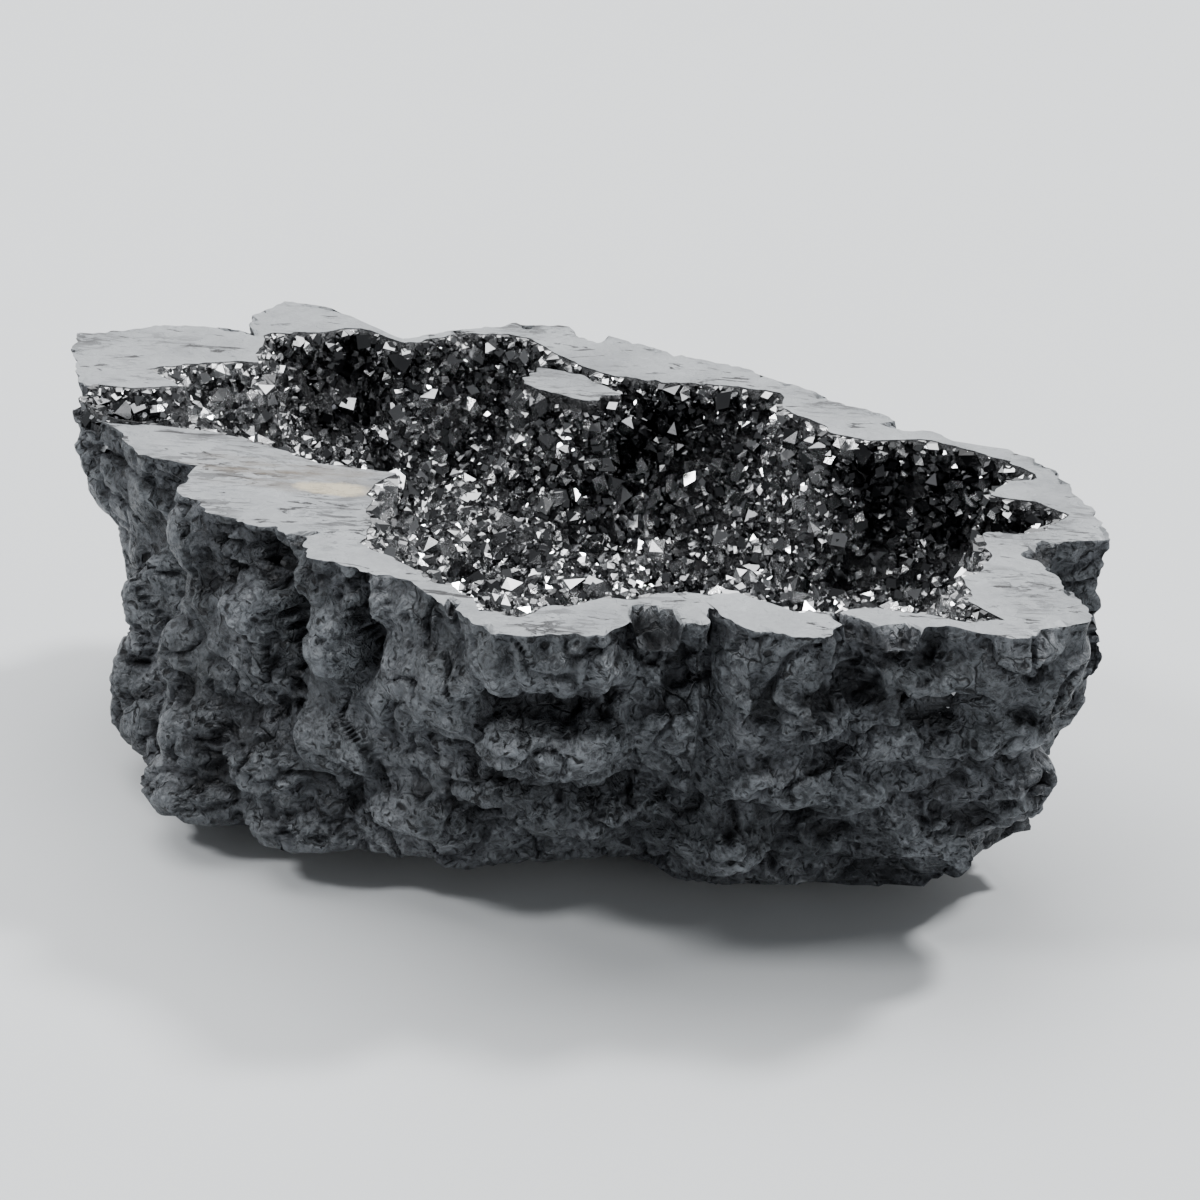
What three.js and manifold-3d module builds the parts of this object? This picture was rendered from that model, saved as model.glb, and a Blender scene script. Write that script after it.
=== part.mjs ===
import * as THREE from 'three';
import { mergeVertices } from 'three/addons/utils/BufferGeometryUtils.js';
import Module from 'manifold-3d';

// Half of a small geode, sawn flat and lying on its weathered underside.
// Lengths are in millimetres, +Z is up, and the saw cut is the plane z = cutHeight.
// Plan directions are degrees about the hollow's centre.

const wasm = await Module();
wasm.setup();

const cutHeight = 16.5;
const footHeight = 2.5; // the wall turns under below this
const undersideLift = 0.8; // height of the underside between its lumps
const halfLength = 28.7;
const halfWidth = 15.3;
const hollowCentre = { x: 2, y: 0 };
const settled = { x: -0.25, y: 0.8 }; // puts the middle of the stone over the origin
const wallCurve = 1.8; // the higher, the more upright the wall is below the cut
// The left end leans out only near its top, as rise ** curve.
const overhang = { direction: 195, spread: [10, 22], curve: 1.6 };
const wallSink = 0.5; // the wall between its lumps lies this far inside its outline
const bodyColumns = 112;
const undersideShares = [0.25, 0.48, 0.66, 0.8, 0.91, 1];
const wallRows = 13;

const hollowDepth = 7.2;
const hollowWall = 7; // the higher, the steeper the hollow's wall
const hollowRings = [0.22, 0.38, 0.52, 0.64, 0.75, 0.85, 0.94, 1].map((share) => ({ share, columns: 60 }));

const crustGap = 0.3;
const crustThickness = 0.6;
const crustMargin = 0.1; // crystals end this far below the saw cut
const crystalHeight = [0.6, 1.5];
const crystalLooseness = 0.55;
const crystalRings = [
  { share: 0.11, columns: 8 }, { share: 0.22, columns: 16 }, { share: 0.33, columns: 32 },
  { share: 0.44, columns: 32 }, { share: 0.55, columns: 64 }, { share: 0.65, columns: 64 },
  { share: 0.75, columns: 64 }, { share: 0.84, columns: 64 }, { share: 0.91, columns: 64 },
  { share: 0.965, columns: 64 }, { share: 1, columns: 64 },
];

// Outer edge of the cut face.
const rim = [
  [-28.5, -2.5], [-26.2, 1.1], [-23.4, 2.9], [-22.2, 3.1], [-23.8, 4.9], [-24, 7.4],
  [-21.7, 8.3], [-18.6, 7.9], [-15.6, 7.3], [-14.2, 10.3], [-12.8, 12.7], [-10.2, 14.2],
  [-5.8, 14.4], [0.1, 15.3], [6.8, 14.8], [13, 14.3], [15.9, 15.1], [19.2, 14.4],
  [21.6, 12.3], [25.2, 9.4], [23.4, 7.7], [24.3, 5.1], [27.6, 3.2], [28.9, 1.9],
  [27.6, -1.7], [24.7, -2.7], [23.4, -4.6], [21.4, -4.6], [21.6, -6.9], [18.7, -8.3],
  [15.8, -7.6], [17, -9], [14.3, -10.3], [14.2, -12.5], [10.6, -15.4], [4.9, -14],
  [-0.9, -14.9], [-2.3, -13.5], [-7.3, -14.2], [-10.4, -13.4], [-11.8, -10.6],
  [-14.8, -11.5], [-18.2, -9.9], [-21.4, -9], [-23.7, -7.1], [-27, -4.3],
];

// Plan outline of the stone where its wall turns under.
const foot = [
  [-23, -2], [-20, 2], [-14, 3], [-8, 8], [0, 11], [12, 10], [20, 9], [23.5, 7],
  [22.5, 4], [22.5, 0], [20, -0.5], [15.5, -3.5], [14.5, -6.5], [11, -6.5], [7, -10],
  [5, -13], [1, -14], [-2, -15.5], [-7.2, -16.2], [-11.8, -15.1], [-15.8, -12.6], [-18.4, -9.3], [-22, -6],
];

// Edge of the hollow on the cut face.
const mouth = [
  [26.1, -0.5], [23.8, 0.1], [22.5, 1.7], [22.1, 3.9], [20.7, 5.6], [20.4, 6.6], [21.6, 7.3],
  [22, 8.4], [21.9, 10.5], [19.7, 10.6], [17.9, 9.9], [17.8, 12], [18.6, 12.8], [17.5, 13.7],
  [14.5, 13.8], [11.9, 13.5], [10.1, 11.7], [8.5, 11.4], [4.5, 12.4], [3.3, 13.8], [1.9, 13.4],
  [-0.3, 12], [-4.1, 10.5], [-6.4, 10.2], [-10.8, 11.5], [-12, 11.3], [-14, 9.3], [-15, 6.9],
  [-18.2, 7.2], [-20, 4.6], [-21.2, 3.6], [-19, 0.5], [-20.7, -1.1], [-22.4, -3.6], [-19.5, -4.2],
  [-21.2, -6], [-23, -6.5], [-21.7, -8.3], [-19.8, -9.1], [-18, -8.9], [-13.9, -7.1],
  [-10.6, -6.8], [-7.6, -6.8], [-4.3, -5.4], [-3.8, -7.6], [-0.7, -10.8], [-0.2, -12.1],
  [2.7, -12.5], [5.1, -13], [6.1, -12.6], [8.6, -14], [10.2, -13.3], [10.3, -12], [12, -9.6],
  [13.8, -7.1], [15.9, -5.6], [18.7, -5.5], [21.2, -3], [24.8, -1.6],
];

// Lumps and dents of the weathered wall, each an oval on the plain wall: width along the
// wall and tall upright are half sizes, tilt raises the end that lies anticlockwise, and a
// dent has a negative proud value.
const wallLumps = [
  { name: 'nose', direction: 201, height: 13.3, width: 2.8, tall: 2.6, tilt: 0, proud: 1.3 },
  { name: 'recess beside the nose', direction: 216, height: 14, width: 2.6, tall: 2.6, tilt: 0, proud: -3.1 },
  { name: 'recess foot', direction: 212, height: 11.8, width: 1.4, tall: 2.4, tilt: -20, proud: -1.7 },
  { name: 'left fold', direction: 214, height: 9.3, width: 1.6, tall: 2.6, tilt: 0, proud: 1 },
  { name: 'left lower swell', direction: 214, height: 4.2, width: 3.4, tall: 2.8, tilt: 0, proud: 1.2 },
  { name: 'corner ridge', direction: 229, height: 14.6, width: 1.6, tall: 1.9, tilt: 0, proud: 1 },
  { name: 'small knob', direction: 232, height: 11.8, width: 1.2, tall: 1.1, tilt: 0, proud: 0.8 },
  { name: 'left slab', direction: 226, height: 8.6, width: 1.9, tall: 1.7, tilt: 20, proud: 0.9 },
  { name: 'big knob', direction: 244, height: 12.5, width: 1.8, tall: 1.5, tilt: -20, proud: 1.6 },
  { name: 'tail of the big knob', direction: 247, height: 10, width: 0.9, tall: 2.2, tilt: 15, proud: 1 },
  { name: 'scallop below the rim', direction: 244, height: 15.2, width: 1.4, tall: 0.9, tilt: 0, proud: -1.3 },
  { name: 'crevice beside the knob', direction: 252, height: 12.7, width: 1.2, tall: 1.8, tilt: 0, proud: -1.8 },
  { name: 'rim bulge', direction: 255, height: 15.1, width: 0.9, tall: 1.4, tilt: 0, proud: 1 },
  { name: 'pointed knob', direction: 263, height: 12.3, width: 1.3, tall: 1.9, tilt: 0, proud: 1.3 },
  { name: 'upright crevice', direction: 269, height: 13.6, width: 0.9, tall: 2.8, tilt: 0, proud: -2 },
  { name: 'round knob', direction: 274, height: 15.3, width: 1.2, tall: 1.2, tilt: 0, proud: 1.2 },
  { name: 'flat knob', direction: 281, height: 15, width: 1.4, tall: 1.2, tilt: 0, proud: 0.9 },
  { name: 'front buttress', direction: 286, height: 12.2, width: 3.2, tall: 2.5, tilt: -12, proud: 2.2 },
  { name: 'buttress heel', direction: 276, height: 10.4, width: 1.7, tall: 1.6, tilt: -40, proud: 1 },
  { name: 'left crease', direction: 239, height: 7.4, width: 3.2, tall: 0.7, tilt: 0, proud: -1 },
  { name: 'left lobe', direction: 235, height: 5.3, width: 2, tall: 1.9, tilt: 0, proud: 1.4 },
  { name: 'second lobe', direction: 249, height: 5.7, width: 2.5, tall: 1.9, tilt: -15, proud: 1.6 },
  { name: 'bottom left lobe', direction: 236, height: 2.5, width: 3, tall: 2, tilt: 0, proud: 1.7 },
  { name: 'bottom lobe', direction: 255, height: 2.7, width: 2.6, tall: 1.5, tilt: 0, proud: 1.2 },
  { name: 'middle left lobe', direction: 262, height: 7.6, width: 2.4, tall: 1.6, tilt: -20, proud: 1.2 },
  { name: 'bottom middle lobe', direction: 280, height: 5, width: 3, tall: 1.4, tilt: 0, proud: 1.2 },
  { name: 'low band', direction: 294, height: 7.2, width: 3, tall: 1.3, tilt: 8, proud: 1 },
  { name: 'first rib', direction: 297, height: 14.8, width: 1.3, tall: 1.7, tilt: 0, proud: 0.9 },
  { name: 'second rib', direction: 303, height: 15, width: 0.9, tall: 1.6, tilt: 0, proud: 0.8 },
  { name: 'third rib', direction: 309, height: 14.8, width: 1.3, tall: 1.8, tilt: 0, proud: 1 },
  { name: 'fourth rib', direction: 315, height: 14.6, width: 1.2, tall: 1.6, tilt: 0, proud: 0.8 },
  { name: 'crevice below the ribs', direction: 302, height: 12.2, width: 4, tall: 0.9, tilt: 3, proud: -1.8 },
  { name: 'crevice end', direction: 314, height: 12.7, width: 2.2, tall: 0.7, tilt: 8, proud: -1.2 },
  { name: 'broad front lobe', direction: 306, height: 10.2, width: 4.3, tall: 1.8, tilt: 3, proud: 1.8 },
  { name: 'low front lobe', direction: 308, height: 5.6, width: 3.6, tall: 1.5, tilt: 0, proud: 1.4 },
  { name: 'low front recess', direction: 319, height: 7, width: 2.6, tall: 1.4, tilt: 0, proud: -1.2 },
  { name: 'broken notch', direction: 322, height: 15.4, width: 2.2, tall: 1.2, tilt: 0, proud: -1.7 },
  { name: 'upright slot', direction: 327, height: 13.8, width: 0.9, tall: 2.2, tilt: 0, proud: -1.7 },
  { name: 'middle slab', direction: 323, height: 11, width: 2, tall: 1.3, tilt: 15, proud: 0.8 },
  { name: 'right nub', direction: 333, height: 15.3, width: 1.5, tall: 0.9, tilt: 0, proud: 0.9 },
  { name: 'right upper knob', direction: 333, height: 13.2, width: 1, tall: 1.3, tilt: 0, proud: 1 },
  { name: 'first pair knob', direction: 339, height: 12.1, width: 1.2, tall: 1.4, tilt: 10, proud: 1.3 },
  { name: 'second pair knob', direction: 344, height: 12, width: 1.2, tall: 1.4, tilt: 10, proud: 1.3 },
  { name: 'broad right lobe', direction: 347, height: 7.9, width: 3, tall: 1.7, tilt: -12, proud: 1.7 },
  { name: 'right middle slab', direction: 337, height: 8.4, width: 2, tall: 1.3, tilt: 0, proud: 1 },
  { name: 'bottom right lobe', direction: 335, height: 4.2, width: 2.6, tall: 1.7, tilt: 0, proud: 2 },
  { name: 'notch below the right rim', direction: 348, height: 15.4, width: 2.4, tall: 1, tilt: 0, proud: -1.6 },
  { name: 'diagonal rib', direction: 352, height: 13.9, width: 2.4, tall: 0.9, tilt: 24, proud: 1.4 },
  { name: 'diagonal rib end', direction: 358, height: 15.3, width: 2.2, tall: 0.9, tilt: 22, proud: 1 },
  { name: 'deep recess', direction: 355, height: 12, width: 1.9, tall: 1.6, tilt: 35, proud: -3.1 },
  { name: 'lower fold', direction: 359, height: 11.3, width: 2.2, tall: 1, tilt: 40, proud: 1.3 },
  { name: 'upper fold', direction: 2, height: 13.4, width: 1.2, tall: 1.8, tilt: -30, proud: 0.9 },
  { name: 'right lower lobe', direction: 4, height: 7.2, width: 2.9, tall: 2.2, tilt: 0, proud: 2 },
  { name: 'nub', direction: 358, height: 4.7, width: 2.6, tall: 2.4, tilt: -30, proud: 2.3 },
  { name: 'bottom band', direction: 348, height: 3.8, width: 2.6, tall: 1, tilt: 0, proud: 0.9 },
  { name: 'right end lobe', direction: 6, height: 14.2, width: 1.6, tall: 1.5, tilt: 0, proud: 0.8 },
];

// Smaller lumps spread evenly over the sides away from the front.
const spreadLumps = { count: 48, directions: [10, 192], radius: [1.7, 3.1], proud: [0.5, 1.2] };

// Broad lumps the stone rests on, at plan positions; z = 0 wears them flat.
const restingLumps = [
  { x: -9, y: -8, radius: 6.5, proud: 1.4 },
  { x: 13, y: 1, radius: 6.5, proud: 1.4 },
  { x: -1, y: 6, radius: 5.5, proud: 1.3 },
  { x: 3, y: -6, radius: 5, proud: 0.7 },
];

// The pillar that stands in the hollow up to the saw cut.
const island = { x: -5.1, y: 7.9, topRadius: 1.4, baseRadius: 2.3, stretch: 1.8, sides: 14 };

// Rises and basins of the hollow's floor.
const floorShapes = [
  { name: 'foot of the island', x: -5.1, y: 7.9, reachX: 5.5, reachY: 4.4, rise: 3 },
  { name: 'left saddle', x: -6, y: 2.5, reachX: 7, reachY: 3.6, rise: 1.8 },
  { name: 'left basin', x: -13, y: 4, reachX: 5, reachY: 4, rise: -1 },
  { name: 'middle basin', x: 3, y: 5, reachX: 6, reachY: 5, rise: -1.2 },
  { name: 'right saddle', x: 11, y: 2, reachX: 3, reachY: 7, rise: 0.6 },
  { name: 'right basin', x: 17, y: 5, reachX: 5, reachY: 6, rise: -1.4 },
  { name: 'left shelf', x: -19, y: -5, reachX: 8, reachY: 5, rise: 4.6 },
  { name: 'front left shelf', x: -2, y: -9, reachX: 4, reachY: 5, rise: 4 },
  { name: 'front shelf', x: 8, y: -13, reachX: 4, reachY: 4, rise: 4.5 },
  { name: 'right shelf', x: 20.5, y: 2.5, reachX: 4, reachY: 4, rise: 3.5 },
  { name: 'right front shelf', x: 19, y: -4, reachX: 5, reachY: 3, rise: 3.5 },
];

const radians = (degrees) => degrees * Math.PI / 180;
const mix = (low, high, share) => low + (high - low) * share;
const fraction = (value) => value - Math.floor(value);
const chance = (i, j) => fraction(Math.sin(i * 12.9898 + j * 78.233) * 43758.5453);

// Angle of a column, so that columns are evenly spaced round the long outline.
function columnAngle(column, columns) {
  const turn = 2 * Math.PI * column / columns;
  return Math.atan2(halfWidth * Math.sin(turn), halfLength * Math.cos(turn));
}

// Distance from the hollow's centre to an outline along an angle.
function reach(outline, angle) {
  const dx = Math.cos(angle);
  const dy = Math.sin(angle);
  let farthest = 0;
  outline.forEach(([x, y], i) => {
    const [nextX, nextY] = outline[(i + 1) % outline.length];
    const fromX = x - hollowCentre.x;
    const fromY = y - hollowCentre.y;
    const edgeX = nextX - x;
    const edgeY = nextY - y;
    const cross = dx * edgeY - dy * edgeX;
    if (Math.abs(cross) < 1e-9) return;
    const along = (fromX * edgeY - fromY * edgeX) / cross;
    const part = (fromX * dy - fromY * dx) / cross;
    if (part >= 0 && part <= 1) farthest = Math.max(farthest, along);
  });
  return farthest;
}

function planPoint(angle, radius, height) {
  const x = hollowCentre.x + radius * Math.cos(angle);
  const y = hollowCentre.y + radius * Math.sin(angle);
  return new THREE.Vector3(x, y, height);
}

function wallPoint(angle, height) {
  const rise = THREE.MathUtils.clamp((height - footHeight) / (cutHeight - footHeight), 0, 1);
  const upright = 1 - (1 - rise) ** wallCurve;
  const away = Math.abs(((angle / Math.PI * 180 + 360) % 360) - overhang.direction);
  const share = 1 - THREE.MathUtils.smoothstep(away, ...overhang.spread);
  const lean = mix(upright, rise ** overhang.curve, share);
  return planPoint(angle, mix(reach(foot, angle), reach(rim, angle), lean), height);
}

function undersidePoint(angle, share) {
  const turn = 1 - Math.sqrt(1 - share ** 4);
  const height = mix(undersideLift, footHeight, turn);
  return planPoint(angle, share * reach(foot, angle), height);
}

function spreadLump(i) {
  const { directions, radius, proud } = spreadLumps;
  const size = mix(...radius, fraction(i * 0.5698));
  return {
    direction: mix(...directions, fraction(i * 0.618)),
    height: mix(1.5, 14.5, fraction(i * 0.7549)),
    width: size,
    tall: size,
    tilt: 0,
    proud: mix(...proud, fraction(i * 0.4142)),
  };
}

// A lump's middle on the plain wall and its three axes, each divided by its half size.
function placed(lump) {
  const angle = radians(lump.direction);
  const tilt = radians(lump.tilt);
  const along = new THREE.Vector3(-Math.sin(angle), Math.cos(angle), 0);
  const up = new THREE.Vector3(0, 0, 1);
  const out = new THREE.Vector3(Math.cos(angle), Math.sin(angle), 0);
  const wide = along.clone().multiplyScalar(Math.cos(tilt)).addScaledVector(up, Math.sin(tilt));
  const high = up.clone().multiplyScalar(Math.cos(tilt)).addScaledVector(along, -Math.sin(tilt));
  return {
    at: wallPoint(angle, Math.max(lump.height, footHeight)),
    axes: [
      wide.divideScalar(lump.width),
      high.divideScalar(lump.tall),
      out.divideScalar(Math.max(lump.width, lump.tall)),
    ],
    proud: lump.proud,
  };
}

function placedBelow({ x, y, radius, proud }) {
  const axes = [[1, 0, 0], [0, 1, 0], [0, 0, 1]].map((axis) => new THREE.Vector3(...axis).divideScalar(radius));
  return { at: new THREE.Vector3(x, y, undersideLift), axes, proud };
}

const placedLumps = [
  ...wallLumps.map(placed),
  ...Array.from({ length: spreadLumps.count }, (_, i) => placed(spreadLump(i))),
  ...restingLumps.map(placedBelow),
];

// How far the lumps push a point outward: the proudest cap, which dies out towards the
// rim, less the deepest dent, which runs up close under it.
function lumpPush(point) {
  let cap = 0;
  let dent = 0;
  placedLumps.forEach(({ at, axes, proud }) => {
    const from = point.clone().sub(at);
    const near = 1 - axes.reduce((sum, axis) => sum + from.dot(axis) ** 2, 0);
    if (near <= 0) return;
    if (proud > 0) cap = Math.max(cap, proud * near ** 0.6);
    else dent = Math.min(dent, proud * near);
  });
  const below = cutHeight - point.z;
  return cap * THREE.MathUtils.smoothstep(below, 0, 1.2) + dent * THREE.MathUtils.smoothstep(below, 0, 0.5);
}

// Moves a point of the plain body outward by its lumps; the rim keeps its outline.
function weathered(point, angle, downward) {
  const outward = Math.sqrt(1 - downward ** 2);
  const sink = wallSink * outward * THREE.MathUtils.smoothstep(cutHeight - point.z, 0, 1.2);
  const push = lumpPush(point) - sink;
  point.x += push * outward * Math.cos(angle);
  point.y += push * outward * Math.sin(angle);
  point.z = Math.max(point.z - push * downward, 0);
  return point;
}

// Closed skin over rows of points, bottom to top; a row of one point is a pole, and
// a row may have twice the points of the row below. With a peak, each cell is pointed.
function skin(rows, peak) {
  const points = rows.flat();
  const starts = rows.map((_, row) => rows.slice(0, row).flat().length);
  const at = (row, column) => starts[row] + column % rows[row].length;
  const faces = [];
  for (let row = 0; row + 1 < rows.length; row++) {
    const lower = rows[row].length;
    const upper = rows[row + 1].length;
    const cells = lower > 1 ? lower : upper;
    const step = upper > 1 ? upper / cells : 0;
    for (let cell = 0; cell < cells; cell++) {
      const corners = lower > 1 ? [at(row, cell), at(row, cell + 1)] : [at(row, 0)];
      for (let k = step; k >= 0; k--) corners.push(at(row + 1, cell * step + k));
      const top = peak?.(row, cell, corners.map((i) => points[i]));
      const hub = top ? points.push(top) - 1 : corners.shift();
      const edges = top ? corners.length : corners.length - 1;
      for (let k = 0; k < edges; k++) faces.push(hub, corners[k], corners[(k + 1) % corners.length]);
    }
  }
  return new THREE.BufferGeometry().setFromPoints(points).setIndex(faces);
}

function ring(columns, pointAt) {
  return Array.from({ length: columns }, (_, column) => pointAt(columnAngle(column, columns), column));
}

function bodyGeometry() {
  const pole = weathered(undersidePoint(0, 0), 0, 1);
  const underside = undersideShares.map((share) => ring(bodyColumns, (angle) => {
    const downward = Math.sqrt(1 - share ** 6);
    return weathered(undersidePoint(angle, share), angle, downward);
  }));
  const wall = Array.from({ length: wallRows }, (_, row) => ring(bodyColumns, (angle) => {
    const height = mix(footHeight, cutHeight, (row + 1) / wallRows);
    return weathered(wallPoint(angle, height), angle, 0);
  }));
  const lid = ring(bodyColumns, (angle) => planPoint(angle, reach(rim, angle), cutHeight + 1));
  const lidPole = planPoint(0, 0, cutHeight + 1);
  return skin([[pole], ...underside, ...wall, lid, [lidPole]]);
}

function depthAt(x, y) {
  return floorShapes.reduce((depth, shape) => {
    const across = ((x - shape.x) / shape.reachX) ** 2 + ((y - shape.y) / shape.reachY) ** 2;
    return across < 1 ? depth - shape.rise * (1 - across) ** 2 : depth;
  }, hollowDepth);
}

function hollowPoint(angle, share) {
  const point = planPoint(angle, share * reach(mouth, angle), cutHeight);
  const depth = depthAt(point.x, point.y) * Math.sqrt(1 - share ** hollowWall);
  point.z = cutHeight - depth;
  return point;
}

// Rows of the hollow's surface, from the middle of its floor up past the saw cut.
function hollowRows(rings, looseness) {
  const floor = rings.map(({ share, columns }, row) => ring(columns, (angle, column) => {
    const loose = share < 1 ? looseness : 0;
    const turn = loose * (chance(row, column) - 0.5) * 2 * Math.PI / columns;
    const shift = loose * (chance(column, row) - 0.5) * (share - (rings[row - 1]?.share ?? 0));
    return hollowPoint(angle + turn, share + shift);
  }));
  const lid = floor[rings.length - 1].map((point) => point.clone().setZ(cutHeight + 2));
  return [[hollowPoint(0, 0)], ...floor, lid, [planPoint(0, 0, cutHeight + 2)]];
}

// The same rows moved off the rock into the open hollow.
function lifted(rows, distance) {
  return rows.map((row, r) => row.map((point, c) => {
    if (row.length === 1) return point.clone().setZ(point.z + (r ? 0 : distance));
    const beside = (other) => other[Math.floor(c * other.length / row.length)];
    const before = row[(c + row.length - 1) % row.length];
    const after = row[(c + 1) % row.length];
    const below = beside(rows[r - 1]);
    const above = r + 2 < rows.length ? beside(rows[r + 1]) : point;
    const outward = after.clone().sub(before).cross(above.clone().sub(below)).normalize();
    return point.clone().addScaledVector(outward, -distance);
  }));
}

function hollowGeometry(distance) {
  return skin(lifted(hollowRows(hollowRings, 0), distance));
}

// The open air over the crystals: each cell of its underside is dented by one crystal.
function airGeometry() {
  const rows = lifted(hollowRows(crystalRings, crystalLooseness), crustGap + crustThickness);
  return skin(rows, (row, cell, corners) => {
    if (row >= crystalRings.length) return null;
    const middle = corners.reduce((sum, point) => sum.add(point), new THREE.Vector3())
      .divideScalar(corners.length);
    const [a, b, c] = corners;
    const last = corners[corners.length - 1];
    const outward = c.clone().sub(a).cross(last.clone().sub(b)).normalize();
    const height = mix(...crystalHeight, chance(row + 7, cell + 3));
    return middle.addScaledVector(outward, -height);
  });
}

function islandGeometry(gap) {
  const { x, y, topRadius, baseRadius, stretch, sides } = island;
  const pillar = new THREE.CylinderGeometry(topRadius + gap, baseRadius + gap, 8, sides);
  pillar.rotateX(Math.PI / 2);
  pillar.scale(stretch, 1, 1);
  pillar.translate(x, y, cutHeight - 3.5);
  return pillar;
}

function solid(geometry) {
  geometry.deleteAttribute('normal');
  geometry.deleteAttribute('uv');
  const merged = mergeVertices(geometry, 1e-4);
  const mesh = new wasm.Mesh({
    numProp: 3,
    vertProperties: new Float32Array(merged.attributes.position.array),
    triVerts: new Uint32Array(merged.index.array),
  });
  return new wasm.Manifold(mesh);
}

function toMesh(name, shape, color, metalness, roughness) {
  const { vertProperties, triVerts } = shape.getMesh();
  const geometry = new THREE.BufferGeometry();
  geometry.setAttribute('position', new THREE.BufferAttribute(new Float32Array(vertProperties), 3));
  geometry.setIndex(new THREE.BufferAttribute(new Uint32Array(triVerts), 1));
  geometry.translate(settled.x, settled.y, 0);
  geometry.computeVertexNormals();
  const mesh = new THREE.Mesh(geometry, new THREE.MeshStandardMaterial({ color, metalness, roughness }));
  mesh.name = name;
  return mesh;
}

function above(height) {
  const block = new THREE.BoxGeometry(80, 50, 10);
  block.translate(0, 0, height + 5);
  return solid(block);
}

const hollow = solid(hollowGeometry(0)).subtract(solid(islandGeometry(0)));
const rind = solid(bodyGeometry()).subtract(hollow).subtract(above(cutHeight));

const crust = solid(hollowGeometry(crustGap)).subtract(solid(airGeometry()))
  .subtract(solid(islandGeometry(crustGap))).subtract(above(cutHeight - crustMargin));
const part = new THREE.Group();
part.name = 'geode_half';
part.add(toMesh('rind', rind, 0x6b6e71, 0.4, 0.5));
part.add(toMesh('crystal_crust', crust, 0x4a4d50, 0.9, 0.2));

export default part;
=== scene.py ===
import math

import bpy
import numpy as np
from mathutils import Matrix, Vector


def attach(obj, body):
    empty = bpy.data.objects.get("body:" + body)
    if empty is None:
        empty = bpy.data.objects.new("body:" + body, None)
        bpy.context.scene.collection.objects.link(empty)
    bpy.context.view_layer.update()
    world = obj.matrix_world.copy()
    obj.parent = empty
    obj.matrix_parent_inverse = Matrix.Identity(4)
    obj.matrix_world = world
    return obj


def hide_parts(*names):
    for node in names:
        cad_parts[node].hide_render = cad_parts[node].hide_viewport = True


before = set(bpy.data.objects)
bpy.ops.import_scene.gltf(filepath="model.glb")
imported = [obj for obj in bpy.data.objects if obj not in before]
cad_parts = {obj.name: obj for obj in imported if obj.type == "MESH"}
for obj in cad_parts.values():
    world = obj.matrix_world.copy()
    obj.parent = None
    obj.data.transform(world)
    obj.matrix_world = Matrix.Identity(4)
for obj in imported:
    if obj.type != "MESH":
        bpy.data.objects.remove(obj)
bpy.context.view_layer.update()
mm = 0.001
settled = np.array([-0.25, 0.8, 0.0])  # puts the middle of the stone over the origin

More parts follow.
